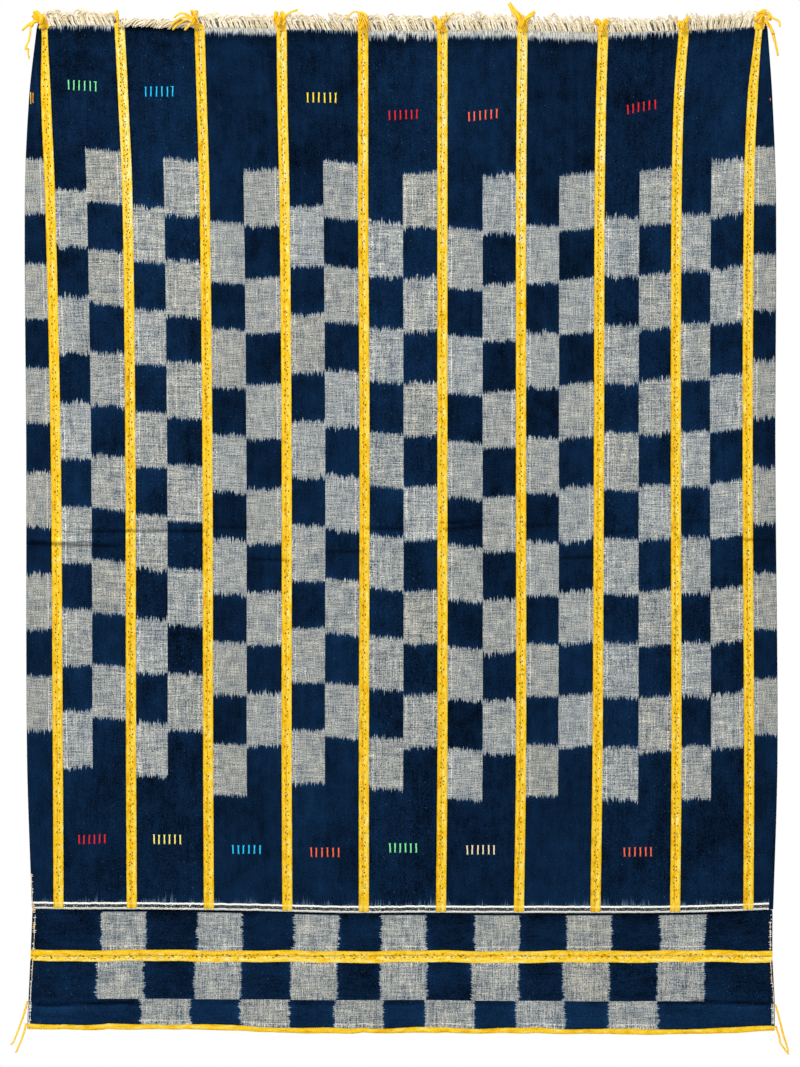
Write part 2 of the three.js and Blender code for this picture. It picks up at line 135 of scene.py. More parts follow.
# How faded the yellow is at the top of a seam, where it isn't as usual
USUAL_YELLOW = 0.2
FADED_YELLOW = {1: 0.3, 2: 0.95, 4: 0.45, 6: 0.4, 7: 0.8, 8: 0.6, 9: 0.5, 10: 0.5}
BORDER_BAND = {"above": (9.4, 7.6, 8.1), "below": (5.9, 8.8, 8.3)}
BORDER_BAND_PLACES = (-520, 0, 520)
FOOT_BAND = 7.4


def smooth_at(places, values, place):
    """Follow a smooth line through the given places and values."""
    places = np.asarray(places, float)
    values = np.asarray(values, float)
    place = np.clip(place, places[0], places[-1])
    last = len(places) - 1
    order = np.arange(last + 1)
    before = np.maximum(order - 1, 0)
    after = np.minimum(order + 1, last)
    slope = (values[after] - values[before]) / (places[after] - places[before])
    i = np.clip(np.searchsorted(places, place, side="right") - 1, 0, last - 1)
    span = places[i + 1] - places[i]
    t = (place - places[i]) / span
    rise = t * t * (3 - 2 * t)
    leave = t * (1 - t) ** 2 * span * slope[i]
    arrive = t * t * (1 - t) * span * slope[i + 1]
    return values[i] * (1 - rise) + values[i + 1] * rise + leave - arrive


def line_at(name, depth):
    """Find a seam's or fold's x at a depth below the top edge."""
    return smooth_at(list(LEVELS.values()), LINES[name], depth)


def border_end(end, depth):
    """Find the x of one end of the border."""
    return smooth_at(list(BORDER_LEVELS.values()), BORDER_ENDS[end], depth)


def top_edge(x):
    """Find how high the top edge stands."""
    return smooth_at(EDGE_PLACES, TOP_EDGE, x)


def hem_edge(x):
    """Find the height of the body's hem."""
    return smooth_at(EDGE_PLACES, HEM_EDGE, x)


def ease(t):
    """Rise smoothly from 0 to 1."""
    t = np.clip(t, 0, 1)
    return t * t * (3 - 2 * t)


def drape(x, depth):
    """Find how far the cloth's slow waves carry it back."""
    fullness = 0.2 + 0.8 * ease(np.asarray(depth) / 500)
    broad = 2.6 * np.sin(2 * math.pi * (x + 40) / 330)
    narrow = 1.6 * np.sin(2 * math.pi * x / 190 + 1.3)
    return fullness * (broad + narrow)


# Creases left by folding: soft ridges (positive) or troughs, from one end to the other
CREASES = table(
    "start end width height",
    ((-532, -718), (-385, -723), 3.2, -2.0),
    ((-524, -712), (-402, -715), 4, 1.0),
    ((-476, -694), (-420, -695), 2, 0.9),
    ((-450, -702), (-262, -702), 2.4, -1.6),
    ((-420, -709), (-280, -711), 4, 0.7),
    ((-268, -696), (-204, -698), 2.6, -1.1),
    ((-212, -741), (-154, -743), 2.4, -1.5),
    ((-106, -731), (-46, -730), 2.4, -1.3),
    ((-50, -698), (14, -699), 2.8, -1.6),
    ((-60, -706), (60, -709), 5, 0.6),
    ((62, -691), (122, -686), 2.2, -1.7),
    ((60, -701), (118, -693), 3.2, -1.6),
    ((170, -695), (228, -692), 3.4, -1.2),
    ((218, -740), (276, -738), 2.6, -1.4),
    ((280, -704), (330, -703), 3, -0.9),
    ((392, -689), (440, -687), 3, -1.1),
    ((470, -713), (530, -715), 2, -1.3),
    ((-520, -1365), (-360, -1362), 1.6, -2.4),
    ((-520, -1371), (-360, -1368), 4, 1.0),
    ((400, -1360), (522, -1363), 1.6, -2.4),
    ((400, -1367), (522, -1369), 4, 1.0),
    ((-382, -1236), (-352, -1335), 1.4, -0.9),
    ((-462, -32), (-405, -46), 3.5, -1.0),
    ((-470, -25), (-395, -33), 5, 0.6),
    ((-440, -52), (-396, -62), 4, -0.8),
    ((-511, -34), (-504, -132), 1.3, 2.6),
    ((-20, -78), (22, -84), 4, -0.8),
    ((-350, -24), (-300, -21), 5, -0.8),
    ((300, -30), (380, -24), 5, -0.6),
)
# The depths between which the cloth was folded across
CREASED = (684, 750)
CREASED_SPACING = 1.6


def crease_at(x, z):
    """Add up the creases, in millimetres forward."""
    forward = np.zeros(np.broadcast(x, z).shape)
    for crease in CREASES:
        (x0, z0), (x1, z1) = crease["start"], crease["end"]
        length = math.hypot(x1 - x0, z1 - z0)
        right, up = (x1 - x0) / length, (z1 - z0) / length
        along = ((x - x0) * right + (z - z0) * up) / length
        aside = (z - z0) * right - (x - x0) * up
        fade = ease(along / 0.12) * ease((1 - along) / 0.12)
        forward += crease["height"] * fade * np.exp(-((aside / crease["width"]) ** 2))
    return forward


def selvedge_relief(distance, along, seed):
    """Puff up the cloth beside a seam and sink it where the stitches pull."""
    pucker = np.sin(2 * math.pi * along / 11.3 + seed) + np.sin(2 * math.pi * along / 7.1 + 2 * seed)
    puff = 0.5 * np.exp(-(((distance - 3.6) / 2.4) ** 2)) * (1 + 0.3 * pucker)
    groove = 0.45 * np.exp(-((distance / 1.1) ** 2))
    return puff - groove


def rumple(x, z, seed):
    """Give the cloth a low, uneven rumple."""
    return 0.3 * (
        np.sin(x / 9.1 + 1.7 * np.sin(z / 31 + seed)) * np.sin(z / 13.7 + seed)
        + 0.7 * np.sin(x / 17 + z / 23 + 2 * seed)
    )


def strip_relief(strip, x, z, depth, from_left, width):
    """Add up how far a strip's front stands forward of its drape."""
    forward = crease_at(x, z) + rumple(x, z, strip)
    if strip > 0:
        forward = forward + selvedge_relief(from_left, depth, strip)
    if strip < SEAM_COUNT:
        forward = forward + selvedge_relief(width - from_left, depth, strip + 1)
    if 0 < strip < SEAM_COUNT:
        forward = forward + 0.8 * np.sin(math.pi * np.clip(from_left / width, 0, 1))
    return forward


# Shader tools


def linear(colour):
    """Turn a colour as the eye sees it into a linear one."""
    return tuple(c / 12.92 if c <= 0.04045 else ((c + 0.055) / 1.055) ** 2.4 for c in colour)


def shade(red, green, blue):
    """Make a linear colour from values up to 255."""
    return (*linear((red / 255, green / 255, blue / 255)), 1)


class Value:
    """A value that varies over a surface. Arithmetic on it adds Math nodes."""

    def __init__(self, shader, socket):
        self.shader = shader
        self.socket = socket

    def math(self, operation, *values, clamp=False):
        settings = {"operation": operation, "use_clamp": clamp}
        return self.shader.node("ShaderNodeMath", settings, dict(enumerate(values)))

    def __add__(self, other):
        return self.math("ADD", self, other)

    def __sub__(self, other):
        return self.math("SUBTRACT", self, other)

    def __rsub__(self, other):
        return self.math("SUBTRACT", other, self)

    def __mul__(self, other):
        return self.math("MULTIPLY", self, other)

    def __truediv__(self, other):
        return self.math("DIVIDE", self, other)

    def __rtruediv__(self, other):
        return self.math("DIVIDE", other, self)

    __radd__ = __add__
    __rmul__ = __mul__

    def clamp(self):
        return self.math("ADD", self, 0, clamp=True)

    def above(self, limit, soft):
        """Rise from 0 to 1 across the limit."""
        return ((self - limit) / soft + 0.5).clamp()

    def below(self, limit, soft):
        """Fall from 1 to 0 across the limit."""
        return ((limit - self) / soft + 0.5).clamp()

    def near(self, place, reach):
        """Stand at 1 at a place and fall to 0 at its reach."""
        return (1 - self.math("ABSOLUTE", self - place) / reach).clamp()

    def least(self, other):
        return self.math("MINIMUM", self, other)

    def most(self, other):
        return self.math("MAXIMUM", self, other)


class Shader:
    """A material being made."""

    def __init__(self, name):
        self.material = bpy.data.materials.new(name)
        self.material.use_nodes = True
        self.tree = self.material.node_tree
        self.tree.nodes.clear()

    def node(self, kind, settings, inputs, output=0):
        """Add a node, with its settings first and then its sockets' values or links."""
        node = self.tree.nodes.new(kind)
        for name, setting in settings.items():
            if name == "stops":
                ramp = node.color_ramp.elements
                while len(ramp) < len(setting):
                    ramp.new(1)
                for stop, (place, colour) in zip(ramp, setting):
                    stop.position = place
                    stop.color = colour
            else:
                setattr(node, name, setting)
        for name, value in inputs.items():
            if isinstance(value, Value):
                self.tree.links.new(value.socket, node.inputs[name])
            else:
                node.inputs[name].default_value = value
        return Value(self, node.outputs[output])

    def attribute(self, name, output="Fac"):
        return self.node("ShaderNodeAttribute", {"attribute_name": name}, {}, output)

    def noise(self, x, y, z, detail=0.0):
        """Make noise at a place whose values are counted in its own grain sizes."""
        place = self.node("ShaderNodeCombineXYZ", {}, {0: x, 1: y, 2: z})
        sockets = {"Vector": place, "Scale": 1.0, "Detail": detail, "Roughness": 0.6}
        return self.node("ShaderNodeTexNoise", {"noise_dimensions": "3D"}, sockets)

    def sway(self, reach, x, y, z, detail=0.0):
        """Make noise that swings to both sides of 0."""
        return (self.noise(x, y, z, detail) - 0.5) * reach

    def ramp(self, value, stops):
        return self.node("ShaderNodeValToRGB", {"stops": stops}, {0: value})

    def mix(self, factor, first, second, blend="MIX"):
        settings = {"data_type": "RGBA", "blend_type": blend}
        return self.node("ShaderNodeMix", settings, {0: factor, 6: first, 7: second}, 2)

    def scale(self, colour, amount):
        """Make a colour lighter or darker by a varying amount."""
        grey = self.node("ShaderNodeCombineXYZ", {}, {0: amount, 1: amount, 2: amount})
        first = colour if isinstance(colour, Value) else colour[:3]
        return self.node("ShaderNodeVectorMath", {"operation": "MULTIPLY"}, {0: first, 1: grey})

    def finish(self, colour, height, relief, roughness=0.95, specular=0.03):
        """Close the material with its colour and its height, in metres of relief."""
        bump = {"Strength": 1.0, "Distance": relief, "Height": height}
        normal = self.node("ShaderNodeBump", {}, bump)
        surface = {
            "Base Color": colour,
            "Roughness": roughness,
            "Specular IOR Level": specular,
            "Normal": normal,
        }
        shaded = self.node("ShaderNodeBsdfPrincipled", {}, surface)
        self.node("ShaderNodeOutputMaterial", {}, {"Surface": shaded}, slice(0))
        return self.material


UNDYED_STOPS = (
    (0.0, shade(40, 52, 70)),
    (0.25, shade(88, 100, 110)),
    (0.42, shade(132, 138, 140)),
    (0.58, shade(154, 157, 155)),
    (0.78, shade(184, 185, 179)),
    (1.0, shade(224, 221, 210)),
)
FADED_STOPS = (
    (0.25, shade(214, 156, 20)),
    (0.4, shade(231, 184, 28)),
    (0.52, shade(236, 195, 46)),
    (0.64, shade(238, 207, 90)),
    (0.8, shade(241, 224, 150)),
)


class ClothPlaces:
    """Where a point of the cloth lies, in millimetres, and the noises that several looks share."""

    def __init__(self, s):
        self.along = s.attribute("along")
        self.across = s.attribute("from_left")
        self.from_top = s.attribute("from_top")
        self.from_hem = s.attribute("from_hem")
        self.pale_top = s.attribute("pale_top")
        self.seed = s.attribute("strip") * 17.3
        self.in_border = s.attribute("strip").above(SEAM_COUNT + 0.5, 0.1)
        self.beside = s.attribute("inside_left").least(s.attribute("inside_right"))
        split = s.attribute("from_split")
        self.right_half = split.math("GREATER_THAN", split, 0)
        left, right = s.attribute("phase_left"), s.attribute("phase_right")
        self.phase = left * (1 - self.right_half) + right * self.right_half
        self.edge = split.math("ROUND", self.phase * 2) * 4.1 + self.right_half * 9.7 + self.seed
        self.warp = s.noise(self.across / 1.05, self.along / 20, self.seed)
        self.weft = s.noise(self.across / 24, self.along / 1.05, self.seed + 5)
        self.fleck = s.noise(self.across / 1.05, self.along / 1.05, self.seed)
        self.grain = s.noise(self.across / 2.1, self.along / 2.4, self.seed + 90)
        self.cloud = s.noise(self.across / 13, self.along / 17, self.seed + 9, 1.0)
        wobble = s.sway(1.8, self.across / 12, self.seed, 51.0, 1.0)
        self.lines = self.from_hem + wobble + s.sway(1.0, self.across / 1.4, self.seed, 57.0)


def inside_block(s, at):
    """Find how far inside a pale block a point lies, with the block's ragged edges."""
    turn = at.phase.math("FRACT", at.phase + 0.25)
    inside = (0.25 - turn.math("ABSOLUTE", turn - 0.5)) * BLOCK_PITCH
    teeth = s.sway(15, at.across / 0.95, at.edge, 3.0) + s.sway(9, at.across / 1.9, at.edge, 5.0)
    bend = s.sway(6, at.across / 11, at.edge, 8.0)
    return inside + teeth * (1 - at.in_border * 0.4) + bend


def faded_top(s, at):
    """Find where the dye stopped short of the top edge."""
    teeth = s.sway(20, at.across / 1.2, at.seed, 21.0) + s.sway(8, at.across / 13, at.seed, 24.0)
    streak = s.noise(at.across / 1.1, at.from_top / 9, at.seed + 44, 1.0).above(0.44, 0.2)
    return (at.pale_top + teeth - at.from_top).above(0, 3) * (0.5 + streak * 0.5)


def feathered_hem(s, at):
    """Find where pale feathers stand above the hem's lines."""
    haze = s.noise(at.across / 17, at.seed, 31.0).above(0.5, 0.35)
    feathers = (s.noise(at.across / 0.72, at.seed, 34.0) - 0.42) * 34 * (0.35 + haze)
    return (1 - (at.from_hem - 8) / feathers.most(0.5)).clamp() * (0.35 + haze * 0.3)


def undyed_ground(s, at):
    """Weave the pale cloth: ribs, slubs, bright warp ends and dark flecks."""
    dash = s.noise(at.across / 3.2, at.along / 0.95, at.seed + 6)
    slack = s.noise(at.across / 11, at.along / 13, at.seed + 19, 1.0) * 9
    turns = 2 * math.pi / RIB_PITCH
    rows = dash.math("SINE", (at.along + dash * 1.1 + slack) * turns)
    ends = dash.math("SINE", (at.across + at.weft * 0.8 - slack) * turns)
    rowed = at.cloud.above(0.5, 0.2)
    selvedge = at.beside.below(5, 1)
    tone = 0.5 + (at.warp - 0.5) * 0.5 + (at.weft - 0.5) * 0.6 + (dash - 0.5) * (0.18 + selvedge * 0.9)
    tone = tone + (at.fleck - 0.5) * 0.65 + (at.grain - 0.5) * 0.2 + (at.cloud - 0.5) * 0.3
    tone = tone + rows * (0.03 + rowed * 0.06) + ends * (0.07 - rowed * 0.04)
    bright_warp = at.beside.near(5.6, 1.1) * s.noise(at.seed, at.right_half * 7.3, 2.0, 1.0).above(0.42, 0.2)
    tone = tone + bright_warp * (0.08 + s.noise(at.seed, at.along / 9, 40.0, 1.0) * 0.55)
    stray_warp = s.noise(at.across / 1.1, at.seed, 91.0).above(0.73, 0.06)
    tone = tone + stray_warp * s.noise(at.seed, at.along / 16, 93.0, 1.0).above(0.45, 0.3) * 0.26
    tone = tone - at.fleck.below(0.27, 0.06) * 0.4
    cloth = s.ramp(tone.clamp(), UNDYED_STOPS)
    each = dash.math("FLOOR", at.phase) * 3.3 + at.right_half * 5.7
    warm = s.noise(each, at.seed, 77.0, 1.0).above(0.52, 0.3).most(s.attribute("warm"))
    cloth = s.mix(warm * 0.5, cloth, s.mix(1.0, cloth, shade(255, 244, 226), "MULTIPLY"))
    blue = s.noise(at.across / 14, at.along / 30, at.seed + 31, 1.0).above(0.56, 0.25)
    return s.mix(blue * 0.25, cloth, shade(132, 152, 178), "SOFT_LIGHT")


def indigo_ground(s, at, within, indigo):
    """Dye the dark cloth: deeper and lighter places, a glow at the blocks' edges, lint, and painted shadow
    below the pale top and, through fade, under the body's hem.
    """
    depth = 0.74 + s.sway(0.5, at.across / 9, at.along / 120, at.seed + 2, 1.0)
    depth = depth + s.sway(1.0, at.across / 50, at.along / 70, at.seed + 14, 1.0)
    depth = depth + (at.warp - 0.5) * 0.5 + (at.fleck - 0.5) * 1.7 + (at.grain - 0.5) * 0.5
    # fade is slow uneven tone on the body; on the border it also carries the painted shadow under the body's
    # hem, and lighter navy below the crease.
    depth = depth + (at.cloud - 0.5) * 0.7 + s.attribute("fade") + at.from_hem.below(26, 44) * 0.22
    depth = depth * (1 - at.beside.near(0.6, 1.8) * 0.6)
    threads = s.noise(at.across, at.edge, 61.0, 1.0).above(0.5, 0.25)
    glow = (within / 13 + 0.9).clamp() * within.below(0, 1) * threads
    dyed = s.scale((*indigo, 1), depth * (1 + glow * 0.9))
    lint = s.noise(at.across / 1.7, at.along / 1.7, at.seed + 60).above(0.86, 0.03)
    dyed = s.mix(lint * 0.35, dyed, shade(110, 140, 170))
    # Painted shadow: the navy is darkened in a band just below the pale top edge.
    return s.scale(dyed, 1 - at.from_top.near(at.pale_top + 7, 13) * 0.35)


def hem_lines(s, at, cloth):
    """Lay the hem over the cloth: two white lines with a speckled dark band between them."""
    specks = s.noise(at.across / 2.1, at.from_hem / 2.2, at.seed + 12, 1.0)
    speckle = (specks.near(0.5, 0.03).above(0.5, 0.5) * 0.5).most(specks.above(0.66, 0.05))
    band = s.mix(speckle, shade(16, 30, 50), shade(214, 214, 206))
    cloth = s.mix(at.lines.near(5.1, 4.0).above(0.2, 0.25), cloth, band)
    lower = at.lines.near(HEM_LINES["lower"], 1.65).above(0.2, 0.3)
    upper = at.lines.near(HEM_LINES["upper"], 1.5).above(0.2, 0.3)
    tone = 0.98 + s.sway(0.9, at.across / 2.2, at.from_hem / 0.9, at.seed, 1.0)
    return s.mix(lower.most(upper), cloth, s.scale(shade(244, 243, 232), tone))


def yellow_selvedge(s, at, cloth):
    """Lay the yellow selvedge over the cloth, faded in patches."""
    patch = s.noise(at.across / 4, at.along / 15, at.seed + 70, 1.0) * 0.8 + at.warp * 0.2
    patch = patch + s.attribute("pale_yellow") * 0.2 - 0.01 - at.right_half * 0.09
    yellow = s.ramp(patch, FADED_STOPS)
    at_edge = (0 - at.beside).below(1.2, 1.2)
    yellow = s.scale(yellow, 0.96 + (at.fleck - 0.5) * 0.5 - at_edge * 0.18 + at.in_border * 0.05)
    line_under = at.lines.near(HEM_LINES["upper"], 1.0).above(0.4, 0.3)
    yellow = s.mix(line_under * 0.6, yellow, shade(250, 232, 150))
    wobble = s.sway(0.9, at.across / 60, at.along / 3, at.seed + 80, 1.0)
    is_yellow = (at.beside + wobble).below(0, 0.5) * (1 - at.lines.below(1.4, 0.5))
    return s.mix(is_yellow, cloth, yellow)


def indigo_cloth(colours):
    """Make the woven cloth: dyed blocks, pale edges, hem lines, yellow selvedges, and painted shade and
    highlight along the creases.
    """
    s = Shader("indigo_cloth")
    at = ClothPlaces(s)
    within = inside_block(s, at)
    top = faded_top(s, at)
    pale = (within.above(0, 1.0) * at.from_top.above(3.6, 0.9)).most(top).most(feathered_hem(s, at))
    whiter = top * (at.pale_top + 1 - at.from_top).above(0, 8) * 0.5
    undyed = s.mix(whiter, undyed_ground(s, at), shade(232, 226, 208))
    cloth = s.mix(pale, indigo_ground(s, at, within, colours["indigo"]), undyed)
    halfway = pale * (1 - pale) * (2.4 - at.from_top.below(24, 2) * 1.4)
    cloth = s.mix(halfway.clamp(), cloth, shade(70, 108, 142))
    cloth = yellow_selvedge(s, at, hem_lines(s, at, cloth))
    # Painted shade and highlight: the colour is darkened along crease troughs and lightened along crease
    # ridges.
    cloth = s.scale(cloth, (1 + s.attribute("crease") * 0.32).most(0.3))
    height = at.warp * 0.5 + at.weft * 0.5 + at.fleck + at.from_hem.near(HEM_LINES["lower"], 1.9) * 1.5
    return s.finish(cloth, height, 0.0006)


def yarn_material(name, stops, twist, fuzz):
    """Make a twisted yarn from colour stops and the length of one turn of its twist."""
    s = Shader(name)
    along = s.attribute("yarn_along")
    turn = s.attribute("yarn_turn")
    seed = s.attribute("yarn_seed")
    ply = turn.math("SINE", (turn + along / twist) * 2 * math.pi)
    hair = s.noise(along / 0.5, turn * 6, seed * 31, 2.0)
    tone = 0.52 + ply * 0.05 + (hair - 0.5) * fuzz + (seed - 0.5) * 0.4
    tone = tone + s.sway(0.35, along / 7, seed * 13, 4.0, 1.0)
    colour = s.ramp(tone.clamp(), stops)
    # Dyed navy at the base, and also painted shade: the dark bases stand in for the shade in the gaps
    # between the tufts.
    dyed = (s.attribute("yarn_dye") * 17 - along).above(0, 4)
    colour = s.mix(dyed * 0.9, colour, shade(34, 52, 78))
    return s.finish(colour, ply * 0.5 + hair, 0.0002)


def thread_material():
    """Make sewing thread whose colour is stored stitch by stitch."""
    s = Shader("sewing_thread")
    along = s.attribute("yarn_along")
    turn = s.attribute("yarn_turn")
    ply = turn.math("SINE", (turn + along / 1.6) * 2 * math.pi)
    hair = s.noise(along / 0.4, turn * 5, s.attribute("yarn_seed") * 31, 1.0)
    colour = s.scale(s.attribute("thread_colour", "Color"), 0.97 + ply * 0.05 + (hair - 0.5) * 0.3)
    return s.finish(colour, ply + hair, 0.0002, roughness=0.65, specular=0.35)


def floor_material(colour):
    """Make the plain pale floor."""
    s = Shader("pale_floor")
    place = s.node("ShaderNodeTexCoord", {}, {}, "Object")
    grain = s.node("ShaderNodeTexNoise", {}, {"Vector": place, "Scale": 6.0})
    return s.finish(s.scale((*colour, 1), 0.99 + grain * 0.02), grain, 0.0002)


def material(name, make, *facts):
    """Find a material, or make it the first time."""
    return bpy.data.materials.get(name) or make(*facts)


def indigo_material(context):
    """Find or make the cloth's material."""
    colours = {"indigo": linear(context.scene.cloth_colours.indigo)}
    return material("indigo_cloth", indigo_cloth, colours)


CREAM_STOPS = (
    (0.0, shade(120, 98, 66)),
    (0.25, shade(184, 162, 122)),
    (0.5, shade(222, 209, 178)),
    (0.75, shade(242, 234, 212)),
    (1.0, shade(250, 245, 230)),
)
YELLOW_STOPS = (
    (0.0, shade(196, 130, 14)),
    (0.25, shade(232, 172, 26)),
    (0.5, shade(248, 198, 44)),
    (0.75, shade(252, 214, 84)),
    (1.0, shade(253, 230, 140)),
)


def cream_material():
    """Find or make the undyed yarn."""
    return material("undyed_yarn", yarn_material, "undyed_yarn", CREAM_STOPS, 5.0, 0.4)


def yellow_material():
    """Find or make the yellow yarn."""
    return material("yellow_yarn", yarn_material, "yellow_yarn", YELLOW_STOPS, 4.0, 0.5)


# Meshes


def mesh_piece(name, points, faces, fields, surface, replaces=()):
    """Make a piece from points in millimetres, with a value of each field at each point."""
    mesh = bpy.data.meshes.new(name)
    mesh.from_pydata((np.asarray(points) * MM).tolist(), [], faces)
    for field, values in fields.items():
        values = np.asarray(values, np.float32)
        if values.ndim == 2:
            layer = mesh.attributes.new(field, "FLOAT_COLOR", "POINT")
            layer.data.foreach_set("color", values.ravel())
        else:
            layer = mesh.attributes.new(field, "FLOAT", "POINT")
            layer.data.foreach_set("value", values)
    mesh.polygons.foreach_set("use_smooth", [True] * len(mesh.polygons))
    mesh.materials.append(surface)
    mesh.update()
    piece = bpy.data.objects.new(name, mesh)
    bpy.context.scene.collection.objects.link(piece)
    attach(piece, BODY)
    if replaces:
        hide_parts(*replaces)
    return piece


def sheet_piece(name, x, behind, z, fields, thickness, surface, replaces):
    """Make a closed sheet round its middle surface, given as rows of points from edge to edge."""
    middle = np.stack([x, behind, z], axis=-1)
    rows, columns = x.shape
    normal = np.cross(np.gradient(middle, axis=0), np.gradient(middle, axis=1))
    normal /= np.linalg.norm(normal, axis=-1, keepdims=True)
    half = np.full((rows, columns, 1), thickness / 2)
    for rim in (half[:, 0], half[:, -1], half[0], half[-1]):
        rim *= 0.6
    both_faces = [middle + normal * half, middle - normal * half]
    points = np.concatenate([grid.reshape(-1, 3) for grid in both_faces])
    layer = rows * columns
    index = np.arange(layer).reshape(rows, columns)
    a, b, c, d = index[:-1, :-1], index[:-1, 1:], index[1:, 1:], index[1:, :-1]
    front = np.stack([a, d, c, b], axis=-1).reshape(-1, 4)
    rim = np.concatenate([index[0, :-1], index[:-1, -1], index[-1, :0:-1], index[:0:-1, 0]])
    following = np.roll(rim, -1)
    side = np.stack([rim, following, following + layer, rim + layer], axis=-1)
    faces = np.concatenate([front, front[:, ::-1] + layer, side]).tolist()
    doubled = {key: np.tile(np.broadcast_to(value, x.shape).ravel(), 2) for key, value in fields.items()}
    return mesh_piece(name, points, faces, doubled, surface, replaces)


# The widths of cloth over which the columns of points are spread
INNER_WIDTH = 107
OUTER_WIDTH = 60


def edge_crowded(width, count):
    """Spread columns over a width of 1, closer together beside both edges."""
    near = np.array([0, 0.6, 1.3, 2.1, 3, 4, 5.2, 6.6, 8.4]) / width
    middle = np.linspace(near[-1], 1 - near[-1], count)
    return np.concatenate([near[:-1], middle, 1 - near[:-1][::-1]])


def block_phase(depth, chart, share):
    """Count the dyed blocks down a half strip: whole numbers start a pale block, halves end it."""
    first, last, bow, slant, first_height, last_height = chart
    count = np.arange(BLOCKS)
    starts = first + (last - first) * count / (BLOCKS - 1) + bow * np.sin(math.pi * count / (BLOCKS - 1))
    ends = starts + np.linspace(first_height, last_height, BLOCKS)
    return chart_phase(depth - slant * (share - 0.5), starts, ends)


def chart_phase(place, starts, ends):
    """Count along a row of pale blocks, holding still in the dyed ground beyond them."""
    margin = 34
    places = [starts[0] - margin]
    phases = [-0.25]
    for count, (start, end) in enumerate(zip(starts, ends)):
        places += [start, end]
        phases += [count, count + 0.5]
    places.append(ends[-1] + margin)
    phases.append(len(starts) - 0.25)
    return np.interp(place, places, phases)


def selvedge_width(seam, side, depth):
    """Find how wide the yellow is beside a seam."""
    full = SELVEDGE[side]
    at_top = SELVEDGE_AT_TOP.get(seam, SELVEDGE)[side]
    return at_top + (full - at_top) * ease(depth / 110)


def pale_yellow(seam, depth):
    """Find how far a seam's yellow has faded."""
    faded = [FADED_YELLOW.get(number, USUAL_YELLOW) for number in range(SEAM_COUNT + 2)]
    at_top = np.array(faded)[seam]
    return at_top + (USUAL_YELLOW - at_top) * ease((depth - 200) / 250)


def body_fields(strip, x, z, depth, from_left, width):
    """Find the values from which the cloth's pattern is coloured, for a strip of the body."""
    row = STRIPS[strip]
    split = row["split"]
    share = from_left / width
    left_band = selvedge_width(strip, "right", depth)
    right_band = selvedge_width(strip + 1, "left", depth)
    return {
        "along": depth + 0 * x,
        "from_left": from_left,
        "from_split": from_left - split * width,
        "inside_left": from_left - left_band,
        "inside_right": width - from_left - right_band,
        "phase_left": block_phase(-z, row["left"], share / split),
        "phase_right": block_phase(-z, row["right"], (share - split) / (1 - split)),
        "pale_top": row["pale_top"],
        "from_top": top_edge(x) - z,
        "from_hem": z - hem_edge(x) + np.where(x > HEM_LINES["end"], FAR, 0),
        "pale_yellow": pale_yellow(strip + (share > 0.5), depth),
        "fade": 0.12 * np.sin(x / 60 + depth / 300),
        # The crease height also paints shade into the troughs and highlight onto the ridges of the colour.
        "crease": crease_at(x, z),
        "warm": 0.9 if strip in (0, SEAM_COUNT) else 0.0,
        "strip": strip,
    }


def body_depths(sizes):
    """Spread the rows of the body from the top edge to the hem, closer where the cloth is creased."""
    spacing = sizes.row_spacing / MM
    start, end = CREASED
    above = np.arange(0, start, spacing)
    creased = np.arange(start, end, CREASED_SPACING)
    below = np.linspace(end, HEM, int((HEM - end) / spacing))
    return np.concatenate([above, creased, below])[:, None]


def body_heights(x, depth):
    """Find the height of each point of the body."""
    share = depth / HEM
    return top_edge(x) * (1 - share) + hem_edge(x) * share


def inner_strip(strip, context):
    """Make one of the nine lengths that lie flat between two seams."""
    sizes = context.scene.cloth_sizes
    depth = body_depths(sizes)
    left, right = line_at(strip, depth), line_at(strip + 1, depth)
    width = right - left
    share = edge_crowded(INNER_WIDTH, sizes.columns)[None, :]
    x = left + sizes.seam_gap / MM / 2 + (width - sizes.seam_gap / MM) * share
    z = body_heights(x, depth)
    from_left = share * width
    forward = strip_relief(strip, x, z, depth, from_left, width)
    fields = body_fields(strip, x, z, depth, from_left, width)
    name = f"woven_strip_{strip:02d}"
    grids = [x, drape(x, depth) - forward, z]
    surface = indigo_material(context)
    piece = sheet_piece(name, *grids, fields, sizes.thickness / MM, surface, [f"strip_{strip:02d}"])


